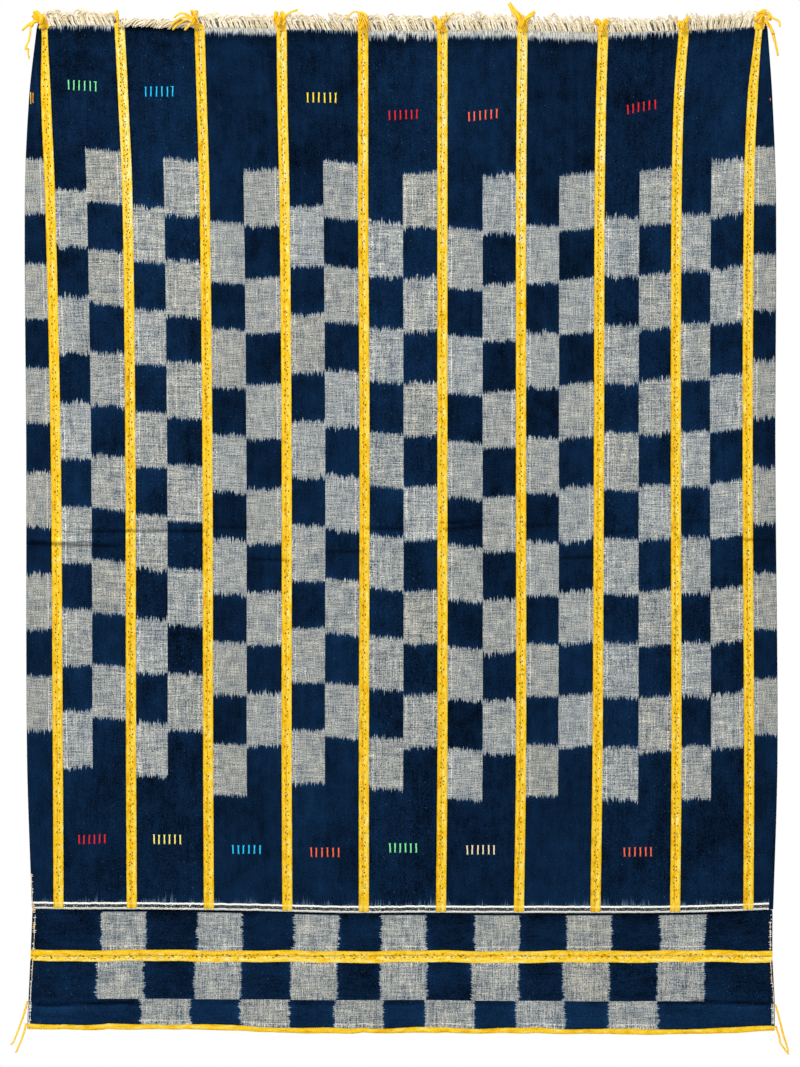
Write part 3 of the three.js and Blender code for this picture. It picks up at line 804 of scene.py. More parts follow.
def outer_strip(strip, context):
    """Make an outer length, which turns at the side fold and comes back behind the cloth."""
    sizes = context.scene.cloth_sizes
    side = -1 if strip == 0 else 1
    seam = 1 if strip == 0 else SEAM_COUNT
    fold = "fold_left" if strip == 0 else "fold_right"
    depth = body_depths(sizes)
    start = line_at(seam, depth) + side * sizes.seam_gap / MM / 2
    end = line_at(fold, depth)
    radius = sizes.fold_radius / MM
    whole = sizes.strip_width / MM
    front_width = np.abs(end - start) - radius
    turn_width = math.pi * radius
    front = front_width * edge_crowded(OUTER_WIDTH, 8)[None, :]
    turn = front_width + turn_width * np.linspace(0, 1, 12)[None, 1:-1]
    back_from = front_width + turn_width
    back = back_from + (whole - back_from) * np.linspace(0, 1, 22)[None, :]
    flat = np.concatenate([front, turn, back], axis=1)
    angle = (flat - front_width) / radius
    in_front = flat <= front_width
    behind_fold = flat >= back_from
    x = np.where(in_front, start + side * flat, end - side * radius * (1 - np.sin(angle)))
    x = np.where(behind_fold, end - side * (radius + flat - back_from), x)
    offset = np.where(in_front, 0, radius * (1 - np.cos(angle)))
    offset = np.where(behind_fold, 2 * radius, offset)
    z = body_heights(x, depth)
    from_left = whole - flat if strip == 0 else flat
    relief = strip_relief(strip, x, z, depth, from_left, whole)
    forward = np.where(in_front, relief, 0) * ease((front_width - flat) / 6)
    fields = body_fields(strip, x, z, depth, from_left, whole)
    grids = [x, drape(x, depth) + offset - forward, z]
    if strip == 0:
        grids = [grid[:, ::-1] for grid in grids]
        fields = {key: np.broadcast_to(value, x.shape)[:, ::-1] for key, value in fields.items()}
    name = f"woven_strip_{strip:02d}"
    surface = indigo_material(context)
    piece = sheet_piece(name, *grids, fields, sizes.thickness / MM, surface, [f"strip_{strip:02d}"])


# Where the border's foot is drawn up between its sewing stitches, and by how much
FOOT_NOTCHES = (
    (-470, 0.8), (-408, 1.4), (-300, 1.2), (-180, 0.9), (-52, 2.0),
    (62, 1.4), (190, 1.0), (292, 1.2), (412, 0.8),
)


def foot_edge(x):
    """Find the height of the border's foot, which is drawn up here and there."""
    z = smooth_at(EDGE_PLACES, FOOT_EDGE, x) + 0.5 * np.sin(x / 13) * np.sin(x / 37 + 1)
    for place, lift in FOOT_NOTCHES:
        z = z + lift * np.exp(-np.abs(x - place) / 7)
    return z


def border_strip(name, context, heights, insets, rows, fields_at, node):
    """Make a crosswise length whose ends turn back as narrow hems."""
    sizes = context.scene.cloth_sizes
    radius = sizes.end_hem_radius / MM
    hem_width = sizes.end_hem_width / MM
    lap = sizes.lap_offset / MM
    depth = rows[:, None]
    left = border_end("left", depth) + insets[:, None]
    right = border_end("right", depth) - insets[:, None]
    share = np.linspace(0, 1, sizes.border_columns)[None, :]
    middle = left + radius + (right - left - 2 * radius) * share
    angles = np.linspace(0, math.pi, 9)[None, 1:]
    out_right = right - radius + radius * np.sin(angles)
    out_left = left + radius - radius * np.sin(angles)
    back = np.array([[0.35, 0.7, 1.0]]) * (hem_width - radius)
    back_right = right - radius - back
    back_left = left + radius + back
    x = np.concatenate([back_left[:, ::-1], out_left[:, ::-1], middle, out_right, back_right], axis=1)
    turn = radius * (1 - np.cos(angles)) + 0 * depth
    flat_back = 2 * radius + 0 * back_left
    offset = np.concatenate([flat_back, turn[:, ::-1], 0 * middle, turn, flat_back], axis=1)
    z = heights(x, depth)
    flat = np.concatenate(
        [
            left - radius * math.pi - back[:, ::-1] + 0 * depth,
            left - radius * angles[:, ::-1],
            middle,
            right + radius * angles,
            right + radius * math.pi + back + 0 * depth,
        ],
        axis=1,
    )
    forward = np.where(offset > 0, 0, crease_at(x, z) + rumple(x, z, rows[0]) * 0.8)
    fields = fields_at(flat, x, z, depth)
    grids = [x, drape(x, depth) + lap + offset - forward, z]
    surface = indigo_material(context)
    piece = sheet_piece(name, *grids, fields, sizes.thickness / MM, surface, [node])


def row_chart(name, place):
    """Count the dyed blocks along one of the border's rows."""
    row = BORDER_ROWS[name]
    starts = np.array(row["starts"], float)
    return chart_phase(place, starts, starts + row["width"])


def border_values(flat, from_top, width, bands, rows, split, strip, fade, crease, below_hem):
    """Find the values from which the cloth's pattern is coloured, for a length of the border."""
    above, below = bands
    return {
        "along": flat,
        "from_left": from_top,
        "from_split": from_top - split,
        "inside_left": from_top - above,
        "inside_right": width - from_top - below,
        "phase_left": row_chart(rows[0], flat),
        "phase_right": row_chart(rows[1], flat),
        "pale_top": -FAR,
        "from_top": below_hem,
        "from_hem": FAR,
        "pale_yellow": 0.4,
        "fade": fade,
        # Crease height, which also paints shade and highlight into the colour.
        "crease": crease,
        "warm": 0.2,
        "strip": strip,
    }


def band_at(side, x):
    """Find how far the border's yellow stands above or below its seam."""
    wave = 0.5 * np.sin(x / 31) + 0.4 * np.sin(x / 12 + 2)
    return smooth_at(BORDER_BAND_PLACES, BORDER_BAND[side], x) + (wave if side == "above" else -wave)


def border_upper(context):
    """Make the border's upper length, tucked up behind the body's hem."""
    sizes = context.scene.cloth_sizes
    tucked = np.linspace(HEM - BORDER_TUCK, HEM, 8)
    shown = np.linspace(HEM + 1.5, BORDER_SEAM, 20)
    rows = np.concatenate([tucked, shown])
    insets = np.where(rows <= HEM, TUCK_INSET, 0.0)
    gap = sizes.seam_gap / MM / 2

    def heights(x, depth):
        hem = hem_edge(x)
        share = (depth - HEM - 4) / (BORDER_SEAM - HEM - 4)
        low = (hem - 4) * (1 - share) + (gap - BORDER_SEAM) * share
        return np.where(depth <= HEM, hem + HEM - depth, low)

    def values(flat, x, z, depth):
        width = BORDER_TUCK + BORDER_SEAM - HEM
        from_top = width + 0 * x - (z + BORDER_SEAM)
        bands = (7, band_at("above", x))
        # Painted shadow: fade darkens the navy just below the body's hem, where the hem overlaps the border.
        fade = -0.06 - 0.4 * np.exp(-np.clip(hem_edge(x) - z, 0, FAR) / 5)
        charts = ("second", "upper")
        below_hem = hem_edge(x) - z
        crease = crease_at(x, z)
        split = BORDER_TUCK - 4
        strip = BORDER_NUMBERS["upper"]
        return border_values(flat, from_top, width, bands, charts, split, strip, fade, crease, below_hem)

    border_strip("border_cloth_upper", context, heights, insets, rows, values, "border_upper")


def border_lower(context):
    """Make the border's lower length, with the yellow selvedge at its foot."""
    sizes = context.scene.cloth_sizes
    rows = np.linspace(BORDER_SEAM, BORDER_LEVELS["foot"], 34)
    insets = np.zeros(len(rows))
    gap = sizes.seam_gap / MM / 2

    def heights(x, depth):
        share = (depth - BORDER_SEAM) / (BORDER_LEVELS["foot"] - BORDER_SEAM)
        return (-gap - BORDER_SEAM) * (1 - share) + foot_edge(x) * share

    def values(flat, x, z, depth):
        from_top = -BORDER_SEAM - z
        width = -BORDER_SEAM - foot_edge(x)
        bands = (band_at("below", x), FOOT_BAND + 0.8 * np.sin(x / 23))
        # The navy below the crease at 1364 is lighter.
        fade = -0.06 + 0.4 * ease((-1364 - z) / 3)
        charts = ("second", "third")
        split = BORDER_SPLIT["middle"] + BORDER_SPLIT["drop"] * x
        strip = BORDER_NUMBERS["lower"]
        crease = crease_at(x, z)
        return border_values(flat, from_top, width, bands, charts, split, strip, fade, crease, FAR)

    border_strip("border_cloth_lower", context, heights, insets, rows, values, "border_lower")


# Yarn


def smooth_path(points, steps):
    """Draw a smooth path through the points, with its steps evenly spread."""
    points = np.asarray(points, float)
    last = len(points) - 1
    t = np.linspace(0, last, steps + 1)
    i = np.minimum(t.astype(int), last - 1)
    t = (t - i)[:, None]
    a = points[np.maximum(i - 1, 0)]
    b = points[i]
    c = points[i + 1]
    d = points[np.minimum(i + 2, last)]
    return 0.5 * (2 * b + (c - a) * t + (2 * a - 5 * b + 4 * c - d) * t**2 + (3 * b - a - 3 * c + d) * t**3)


def path_frames(path):
    """Carry a pair of cross directions along a path without twisting."""
    tangent = np.gradient(path, axis=0)
    tangent /= np.linalg.norm(tangent, axis=1, keepdims=True) + 1e-9
    across = np.zeros_like(path)
    start = np.cross(tangent[0], (0, 1, 0) if abs(tangent[0][1]) < 0.9 else (1, 0, 0))
    across[0] = start / np.linalg.norm(start)
    for i in range(1, len(path)):
        step = across[i - 1] - tangent[i] * np.dot(across[i - 1], tangent[i])
        across[i] = step / np.linalg.norm(step)
    return across, np.cross(tangent, across)


SEEDS = {
    "fringe": 100,
    "knots": 200,
    "yarn_ends": 300,
    "seams": 400,
    "border": 450,
    "sewn_ends": 470,
    "marks": 500,
}


class Yarns:
    """Yarns gathered into one piece."""

    def __init__(self, seed):
        self.chance = np.random.default_rng(seed)
        self.points = []
        self.faces = []
        self.fields = {"yarn_along": [], "yarn_turn": [], "yarn_seed": [], "yarn_dye": []}
        self.colours = []
        self.count = 0

    def add(self, path, radius, sides=6, colour=None, dye=0.0):
        """Add one yarn round a path, with rounded ends."""
        path = np.asarray(path, float)
        rings = len(path)
        across, over = path_frames(path)
        lengths = np.concatenate([[0], np.cumsum(np.linalg.norm(np.diff(path, axis=0), axis=1))])
        radius = np.broadcast_to(radius, rings).astype(float)
        to_end = np.minimum(lengths, lengths[-1] - lengths)
        round_off = np.sqrt(np.clip(1 - (1 - np.clip(to_end / radius, 0, 1)) ** 2, 0.16, 1))
        angle = np.linspace(0, 2 * math.pi, sides, endpoint=False)
        spoke = across[:, None] * np.cos(angle)[None, :, None] + over[:, None] * np.sin(angle)[None, :, None]
        ring = path[:, None] + spoke * (radius * round_off)[:, None, None]
        self.points.append(ring.reshape(-1, 3))
        index = self.count + np.arange(rings * sides).reshape(rings, sides)
        following = np.roll(index, -1, axis=1)
        quads = np.stack([index[:-1], following[:-1], following[1:], index[1:]], axis=-1)
        self.faces += quads.reshape(-1, 4).tolist()
        self.faces.append(index[0, ::-1].tolist())
        self.faces.append(index[-1].tolist())
        self.count += rings * sides
        self.fields["yarn_along"].append(np.repeat(lengths, sides))
        self.fields["yarn_turn"].append(np.tile(np.arange(sides) / sides, rings))
        self.fields["yarn_seed"].append(np.full(rings * sides, self.chance.random()))
        self.fields["yarn_dye"].append(np.full(rings * sides, dye))
        if colour is not None:
            self.colours.append(np.tile(colour, (rings * sides, 1)))

    def bundle(self, points, radii, yarn_radius, count, steps, turns, splay=1.0):
        """Add several yarns that run side by side round a path."""
        path = smooth_path(points, steps)
        across, over = path_frames(path)
        share = np.linspace(0, 1, steps + 1)
        reach = np.maximum(np.interp(share, np.linspace(0, 1, len(radii)), radii) - yarn_radius, 0.3)
        reach = reach * (1 + (splay - 1) * ease((share - 0.8) / 0.2))
        for i in range(count):
            angle = 2 * math.pi * (i / count + turns * share + 0.1 * self.chance.random())
            loose = 1 + 0.25 * np.sin(7 * share + 6 * self.chance.random())
            away = across * np.cos(angle)[:, None] + over * np.sin(angle)[:, None]
            end = steps + 1 - int(self.chance.random() * 0.12 * steps)
            self.add((path + away * (reach * loose)[:, None])[:end], yarn_radius)

    def piece(self, name, surface, slot, replaces=()):
        """Close the gathered yarns into one piece."""
        fields = {key: np.concatenate(parts) for key, parts in self.fields.items()}
        if self.colours:
            fields["thread_colour"] = np.concatenate(self.colours)
        return mesh_piece(name, np.concatenate(self.points), self.faces, fields, surface, replaces)


# The fringe of strips 0 to 10: how many tufts, how high they stand, how far their tips lean to the
# right at its two sides, and how far they fall forward.
FRINGES = table(
    "tufts height lean fall",
    (8, 15, (-3, -3), -2),
    (14, 19, (-11, -9), 2),
    (12, 11, (-7, -11), 7),
    (14, 19, (-9, -8), 2),
    (14, 20, (-11, -9), 2),
    (14, 20, (-10, -8), 2),
    (14, 21, (-9, -9), 2),
    (14, 20, (-8, -7), 2),
    (14, 18, (-8, -6), 2),
    (13, 20, (-6, 10), 2),
    (8, 15, (3, 3), -2),
)
FRINGE_MARGIN = 4
TUFT_YARNS = {"front": 3, "back": 5}

# The way of a yarn as shares of its lean, fall and height
STANDING = ((-0.05, -0.3, -0.08), (0.25, 0.1, 0.2), (0.6, 0.5, 0.6), (0.95, 0.9, 0.9), (1.15, 1.1, 1.0))
CURLED = (
    (-0.05, -0.2, -0.08), (0.25, 0.3, 0.3), (0.55, 0.8, 0.75),
    (0.9, 1.3, 1.0), (1.35, 1.5, 0.95), (1.6, 1.2, 0.75),
)
FALLEN = ((0.1, 0, -0.1), (-0.25, 0.4, 0.5), (-0.1, 0.9, 0.75), (0.5, 1.15, 0.4), (1.3, 0.8, -0.35))


def turned_back_edges(strip, sizes):
    """Find where the turned-back layer of an outer length starts and ends along the top edge."""
    side = -1 if strip == 0 else 1
    seam = 1 if strip == 0 else SEAM_COUNT
    fold = float(line_at("fold_left" if strip == 0 else "fold_right", 0))
    radius = sizes.fold_radius / MM
    front_width = abs(fold - float(line_at(seam, 0))) - radius
    back_width = sizes.strip_width / MM - front_width - math.pi * radius
    free = fold - side * (radius + back_width)
    return (fold, free) if strip == 0 else (free, fold)


def tuft(yarns, middle, pitch, lean, row, behind, radius, way, at_back):
    """Stand one tuft of curly cut yarns on the top edge."""
    chance = yarns.chance
    tall = row["height"] * (0.86 + 0.24 * chance.random())
    lean = lean + 3 * (chance.random() - 0.5)
    fall = row["fall"] * (0.8 + 0.4 * chance.random()) + 1.2 * (chance.random() - 0.5)
    count = TUFT_YARNS["back" if at_back else "front"]
    for i in range(count):
        share = ((i + 0.5) / count - 0.5) * (1.0 if at_back else 0.78) + 0.1 * (chance.random() - 0.5)
        x = middle + share * pitch
        own_lean = lean - share * pitch * 0.45 + 1.6 * (chance.random() - 0.5)
        own_tall = tall * (0.84 + 0.26 * chance.random()) * (0.8 if at_back else 1)
        if way is FALLEN:
            own_lean *= 0.4 + 1.2 * chance.random()
            own_tall *= 0.5 + 0.8 * chance.random()
        wave = 0.8 * math.sin(6.3 * chance.random())
        y = float(drape(x, 0)) + behind
        z = float(top_edge(x)) + 1.2 * (chance.random() - 0.6)
        points = []
        for step, (a, b, c) in enumerate(way):
            sway = wave * (-1) ** step * min(step, 1)
            points.append((x + a * own_lean + sway, y - b * fall, z + c * own_tall))
        thick = radius * (0.85 + 0.3 * chance.random())
        # Most back yarns are dark at the base: dyed navy, and also painted shade in the gaps between the
        # front tufts.
        dye = 0.5 + 0.5 * chance.random() if at_back and chance.random() < 0.8 else 0.0
        taper = np.interp(np.linspace(0, 1, 15), (0, 0.7, 1), (1.0, 1.05, 0.7))
        yarns.add(smooth_path(points, 14), thick * taper, dye=dye)


def fringe(strip, context):
    """Make the cut warp ends that stand above one length."""
    sizes = context.scene.cloth_sizes
    row = FRINGES[strip]
    outer = strip in (0, SEAM_COUNT)
    behind = 2 * sizes.fold_radius / MM if outer else 0
    left, right = turned_back_edges(strip, sizes) if outer else (line_at(strip, 0), line_at(strip + 1, 0))
    first, last = float(left) + FRINGE_MARGIN, float(right) - FRINGE_MARGIN
    pitch = (last - first) / row["tufts"]
    yarns = Yarns(SEEDS["fringe"] + strip)
    chance = yarns.chance
    radius = sizes.yarn_radius / MM
    for layer in (-1.0, 0.9):
        at_back = layer > 0
        for i in range(row["tufts"] + at_back):
            share = np.clip((i + (0 if at_back else 0.5)) / row["tufts"], 0.02, 0.98)
            lean = np.interp(share, (0, 1), row["lean"]) * min(1.0, 0.45 + 5 * min(share, 1 - share))
            way = CURLED if chance.random() < 0.5 else STANDING
            if strip == 2 and (not at_back or chance.random() < 0.4):
                way = FALLEN
            middle = first + (last - first) * share
            tuft(yarns, middle, pitch, lean, row, behind + layer, radius, way, at_back)
    yarns.piece(f"fringe_yarns_{strip:02d}", cream_material(), UNDYED, [f"fringe_{strip:02d}"])


# The knots. Points are (right, forward, up) from the seam's top: the heart, and the loops and loose
# ends that leave it.
KNOTS = table(
    "seam heart radius branches",
    (1, (-2, 3, 7), 6.2, (
        ((4.8, 4.2, 3.6), ((1, 3, 7), (-5, 4, 12), (-10, 4, 16), (-14, 3, 16))),
        ((3.6, 3.2), ((-14, 4, 14), (-11, 4, 9), (-4, 4, 6))),
        ((2.6, 1.6), ((-6, 4, 8), (-14, 4, 5), (-22, 4, 0), (-31, 4, -8))),
        ((2.8, 2.1), ((-8, 4, 7), (-15, 5, 3), (-18, 5, -3))),
        ((1.6, 1.4), ((-18, 5, 0), (-19, 5, -10), (-21, 5, -21), (-25, 4, -30), (-26, 4, -35))),
        ((1.4, 1.4), ((-26, 4, -34), (-22, 5, -33), (-22, 5, -40), (-20, 4, -47))),
    )),
    (2, (0, 0.5, 3), 2.4, (
        ((2.0, 3.0, 1.6), ((-1, 1, 4), (-3, 2, 12), (-4, 3, 17), (-2, 3, 20))),
    )),
    (3, (-7, 5, 8), 6.4, (
        ((2.0, 1.6), ((-6, 8, 9), (-17, 12, 16), (-27, 13, 17), (-35, 13, 11))),
        ((1.8, 1.5), ((-6, 8, 8), (-15, 12, 12), (-25, 13, 11), (-33, 13, 6), (-39, 13, 1))),
        ((1.8, 1.4), ((-6, 8, 8), (-18, 12, 8), (-30, 12, 2), (-37, 12, -6))),
        ((1.8, 1.4), ((-3, 6, 7), (-12, 10, 2), (-20, 11, -6))),
        ((3.0, 3.4, 2.6), ((-4, 4, 10), (-6, 5, 15), (-9, 5, 20), (-12, 5, 20))),
        ((3.0, 2.4), ((-7, 5, 15), (-4, 6, 20), (-3, 6, 22))),
        ((3.6, 3.2), ((-3, 3, 4), (-8, 6, 6), (-13, 8, 9))),
    )),
    (4, (-2, 3, 11), 6.6, (
        ((4.0, 3.8, 3.0), ((-1, 3, 4), (-7, 4, 11), (-8, 5, 18), (-7, 4, 23))),
        ((3.8, 3.4, 2.6), ((0, 3, 4), (3, 4, 11), (3, 5, 18), (0, 4, 23))),
        ((1.8, 1.5, 1.8), ((1, 4, 10), (5, 5, 16), (10, 6, 20), (16, 6, 23), (23, 6, 25))),
    )),
    (5, (0.5, 3, 9), 9.4, (
        ((1.3, 0.9), ((-2, 5, 15), (-8, 7, 24), (-15, 7, 23), (-21, 7, 17), (-26, 7, 16))),
        ((2.6, 2.0), ((-3, 4, 14), (-5, 5, 23), (1, 5, 22), (7, 5, 17))),
    )),
    (6, (-2, 2, 6), 6.2, (
        ((4.4, 4.2, 3.2), ((0, 2, 5), (-5, 4, 10), (-9, 5, 14), (-12, 5, 18))),
        ((1.6, 1.1), ((-2, 3, 8), (3, 5, 16), (6, 6, 24))),
        ((1.5, 1.0), ((-1, 3, 7), (7, 5, 16), (17, 6, 24))),
    )),
    (7, (0.5, 3, 9), 7, (
        ((4.6, 4.2, 3.2, 2.6), ((1, 3, 7), (-3, 4, 16), (-11, 5, 25), (-16, 6, 32), (-19, 6, 37))),
        ((3.8, 3.0, 2.0), ((2, 3, 8), (7, 5, 16), (13, 6, 21), (18, 6, 25))),
    )),
    (8, (-1, 3, 7), 6.4, (
        ((4.4, 4.2, 3.4), ((0, 3, 6), (-4, 4, 11), (-8, 5, 14), (-10, 5, 17))),
        ((4.2, 3.8, 3.0), ((0, 3, 6), (3, 4, 11), (5, 5, 15), (6, 5, 17))),
    )),
    (9, (-1, 3, 7), 6.2, (
        ((3.8, 3.4), ((-3, 3, 5), (-6, 4, 8), (-6, 4, 12))),
        ((3.6, 2.4), ((0, 3, 7), (4, 4, 12), (6, 5, 18))),
    )),
    (10, (2, 3, 10), 6.8, (
        ((5.0, 4.4, 3.4), ((-4, 3, 6), (0, 4, 14), (5, 4, 19), (10, 4, 19))),
        ((3.6, 2.8), ((10, 4, 18), (14, 4, 14), (13, 4, 8))),
        ((1.9, 1.5), ((9, 4, 12), (18, 5, 11), (27, 5, 6), (28, 5, -2))),
        ((3.0, 2.3), ((4, 4, 11), (10, 5, 5), (15, 5, -2), (19, 5, -13))),
        ((2.2, 1.5), ((19, 5, -12), (22, 5, -25), (26, 4, -42))),
    )),
)
NECK_WIDTH = 12.5


def knot(row, context):
    """Tie the yellow warp ends over a seam: gathered neck, wound heart, loops and loose ends."""
    sizes = context.scene.cloth_sizes
    yarn_radius = sizes.knot_yarn_radius / MM
    seam = row["seam"]
    x = float(line_at(seam, 0))
    base = np.array([x, float(drape(x, 0)), float(top_edge(x))])
    yarns = Yarns(SEEDS["knots"] + seam)

    def place(point):
        right, forward, up = point
        return base + np.array([right, -forward, up])

    heart = place(row["heart"])
    size = row["radius"]
    for share in np.linspace(-0.5, 0.5, 12):
        root = place((share * NECK_WIDTH, 0.35, -3.5 - 2 * yarns.chance.random()))
        rise = place((share * NECK_WIDTH, 1.4, 1))
        inner = heart + np.array([share * max(size * 1.7, 7.5), -0.9, -size * 0.4])
        over = heart + np.array([share * size * 1.2, -1.2, size * 0.5])
        yarns.add(smooth_path([root, rise, inner, over], 12), yarn_radius)
    axis = np.array([0.91, 0, 0.41])
    up = np.array([-0.41, 0, 0.91])
    back = np.array([0, 1.0, 0])
    turns = 4
    t = np.linspace(-1, 1, 26 * turns)
    swell = size * (0.5 + 0.35 * np.sqrt(1 - 0.8 * t**2))
    angle = math.pi * turns * t
    coil = heart + axis * (t * size * 0.8)[:, None]
    coil = coil + up * (swell * np.cos(angle))[:, None] + back * (swell * 0.8 * np.sin(angle))[:, None]
    yarns.add(coil, yarn_radius * 1.2)
    t = np.linspace(0, 1, 20)
    cross = heart + axis * (size * (t - 0.5) * 1.8)[:, None]
    cross = cross + up * (size * 0.8 * np.sin(3 * t - 1.2))[:, None]
    cross = cross - back * (size * (0.75 + 0.35 * np.sin(math.pi * t)))[:, None]
    yarns.bundle(cross[::5], (size * 0.4, size * 0.4), yarn_radius, 5, 12, 0.3)
    for radii, points in row["branches"]:
        reach = max(radii) - yarn_radius
        count = max(3, round(3.6 * reach / yarn_radius))
        steps = 8 * (len(points) - 1)
        yarns.bundle([place(p) for p in points], radii, yarn_radius, count, steps, 0.5, 1.3)
    yarns.piece(f"knot_yarns_{seam:02d}", yellow_material(), YELLOW, [f"knot_{seam:02d}"])


# The loose sewing yarns at the bottom corners, as (right, forward, up) in the cloth's own frame
YARN_ENDS = {
    "left_upper": (((-521.6, 0, -1360), (-529, 1, -1385), (-540, 2, -1414), (-545, 2, -1421)),),
    "left_lower": (((-523.5, 0, -1391), (-527, 1, -1405), (-533, 2, -1421), (-538, 2, -1432)),),
    "right": (
        ((525.6, 0, -1364), (531, 1, -1385), (536, 1, -1405), (541, 2, -1421), (544, 2, -1432)),
        ((525.7, 0, -1394), (531, 0, -1410), (533, 1, -1419), (544, 2, -1434)),
    ),
}


def yarn_end(name, lines, context):
    """Hang the loose sewing yarns from a bottom corner."""
    sizes = context.scene.cloth_sizes
    yarns = Yarns(SEEDS["yarn_ends"] + len(name))
    for points in lines:
        way = []
        for x, forward, z in points:
            way.append((x, float(drape(x, -z)) + sizes.lap_offset / MM - forward, z))
        yarns.bundle(way, (1.7, 1.45), 0.92, 3, 26, 4.0)
    yarns.piece(f"yarn_ends_{name}", yellow_material(), YELLOW, [f"yarn_end_{name}"])


# Sewing

THREADS = {
    "green": (132, 242, 160),
    "blue": (23, 200, 250),
    "yellow": (255, 226, 60),
    "pale_yellow": (255, 240, 130),
    "red": (222, 18, 40),
    "orange": (250, 104, 66),
    "cream": (243, 226, 188),
    "amber": (236, 160, 30),
    "dark": (34, 28, 28),
    "brown": (120, 76, 24),
    "navy": (20, 36, 62),
    "white": (246, 243, 232),
    "gold": (246, 192, 60),
    "straw": (246, 222, 140),
}


def thread_colour(name):
    """Find a thread's colour by its name."""
    return shade(*THREADS[name])


def body_front(x, z, context):
    """Find the y of the body's front surface."""
    sizes = context.scene.cloth_sizes
    x, z = np.asarray(x, float), np.asarray(z, float)
    depth = np.clip(-z, 0, HEM)
    middle_x, middle_depth = float(x.mean()), float(depth.mean())
    strip = sum(float(line_at(seam, middle_depth)) <= middle_x for seam in range(1, SEAM_COUNT + 1))
    if strip == 0:
        from_left, width = sizes.strip_width / MM - (line_at(1, depth) - x), sizes.strip_width / MM
        fade = ease((x - line_at("fold_left", depth)) / 6)
    elif strip == SEAM_COUNT:
        from_left, width = x - line_at(SEAM_COUNT, depth), sizes.strip_width / MM
        fade = ease((line_at("fold_right", depth) - x) / 6)
    else:
        from_left = x - line_at(strip, depth)
        width = line_at(strip + 1, depth) - line_at(strip, depth)
        fade = 1
    relief = strip_relief(strip, x, z, depth, from_left, width) * fade
    return drape(x, depth) - relief - sizes.thickness / MM / 2


# How often seams 1 to 10 show a pale stitch, and how far apart their dark needle holes lie, each in
# the top quarter and below it
# The dark needle holes are painted shade: dark stitches stand in for the shade in the holes.
STITCHES = table(
    "pale apart",
    ((0.3, 0.3), (8, 11)),
    ((0.2, 0.2), (6, 9)),
    ((0.8, 0.35), (9, 11)),
    ((0.9, 0.35), (10, 11)),
    ((0.9, 0.4), (10, 11)),
    ((0.9, 0.35), (10, 11)),
    ((0.9, 0.35), (9, 11)),
    ((0.25, 0.25), (8, 9)),
    ((0.35, 0.25), (8, 9)),
    ((0.4, 0.35), (8, 10)),
)
TOP_QUARTER = 300
LAST_STITCH = HEM - 14
BORDER_STITCHES_REACH = 512
# The depths between which stitches show at the side folds
FOLD_STITCHES = (60, 1170)


def short_stitch(yarns, middle, direction, length, radius, name, context, proud=0.15):
    """Lay one short stitch on the body's front, its ends sunk in the cloth."""
    right, up = direction
    steps = np.linspace(-0.5, 0.5, 5 if length > 3 else 3)
    xs = middle[0] + right * length * steps
    zs = middle[1] + up * length * steps
    ys = body_front(xs, zs, context) - proud - 0.3 * np.cos(math.pi * steps)
    yarns.add(np.stack([xs, ys, zs], axis=-1), radius, 5, thread_colour(name))


def seam_stitches(seam, context):
    """Sew a seam: two columns of dark needle holes, made as dark stitches that paint their shade, with pale
    stitches between them.
    """
    yarns = Yarns(SEEDS["seams"] + seam)
    chance = yarns.chance
    row = STITCHES[seam - 1]
    for column in (-1.7, 1.9):
        depth = 3 + 5 * chance.random()
        while depth < LAST_STITCH:
            x = float(line_at(seam, depth)) + column + 2.0 * (chance.random() - 0.5)
            z = float(body_heights(x, depth))
            # Painted shade: a dark stitch stands for each needle hole's shade.
            name = ("dark", "dark", "dark", "navy", "brown")[int(5 * chance.random())]
            lean = (1.4 * (chance.random() - 0.5), -1)
            short_stitch(yarns, (x, z), lean, 1.6 + 1.2 * chance.random(), 0.7, name, context)
            depth += row["apart"][depth > TOP_QUARTER] * (0.4 + 1.2 * chance.random())
    depth = 4.0
    while depth < LAST_STITCH:
        often = row["pale"][depth > TOP_QUARTER]
        if chance.random() < often:
            x = float(line_at(seam, depth)) + 0.6 + 1.0 * (chance.random() - 0.5)
            z = float(body_heights(x, depth))
            long = 8 if often > 0.5 else 3
            length = long * (0.7 + 0.5 * chance.random())
            name = "white" if chance.random() < often - 0.2 else "straw"
            lean = (0.5 * (chance.random() - 0.5), -1)
            short_stitch(yarns, (x, z), lean, length, 0.6, name, context, 0.1)
        elif chance.random() < 0.4:
            x = float(line_at(seam, depth)) + 3 * (chance.random() - 0.5)
            z = float(body_heights(x, depth))
            name = "amber" if chance.random() < 0.5 else "gold"
            side = 1 if chance.random() < 0.5 else -1
            short_stitch(yarns, (x, z), (side, -1), 3.2, 0.5, name, context, 0.0)
        depth += 5 + 4 * chance.random()
    yarns.piece(f"seam_stitches_{seam:02d}", material("sewing_thread", thread_material), YELLOW)


def border_stitches(context):
    """Sew the border's two lengths together."""
    yarns = Yarns(SEEDS["border"])
    chance = yarns.chance
    sizes = context.scene.cloth_sizes
    proud = sizes.lap_offset / MM - sizes.thickness / MM / 2 - 0.4
    for height in (2.2, 0.2, -1.9):
        x = -BORDER_STITCHES_REACH + 6 * chance.random()
        while x < BORDER_STITCHES_REACH:
            z = -BORDER_SEAM + height + 1.6 * (chance.random() - 0.5)
            y = float(drape(x, BORDER_SEAM)) + proud
            name = ("dark", "brown", "white", "cream", "amber", "gold")[int(6 * chance.random())]
            length = 1.4 + 2.4 * chance.random()
            lean = 1.6 * (chance.random() - 0.5)
            points = [(x, y + 0.1, z - lean), (x + length / 2, y - 0.3, z), (x + length, y + 0.1, z + lean)]
            yarns.add(smooth_path(points, 4), 0.5, 5, thread_colour(name))
            x += 4 + 8 * chance.random()
    yarns.piece("border_stitches", material("sewing_thread", thread_material), YELLOW)


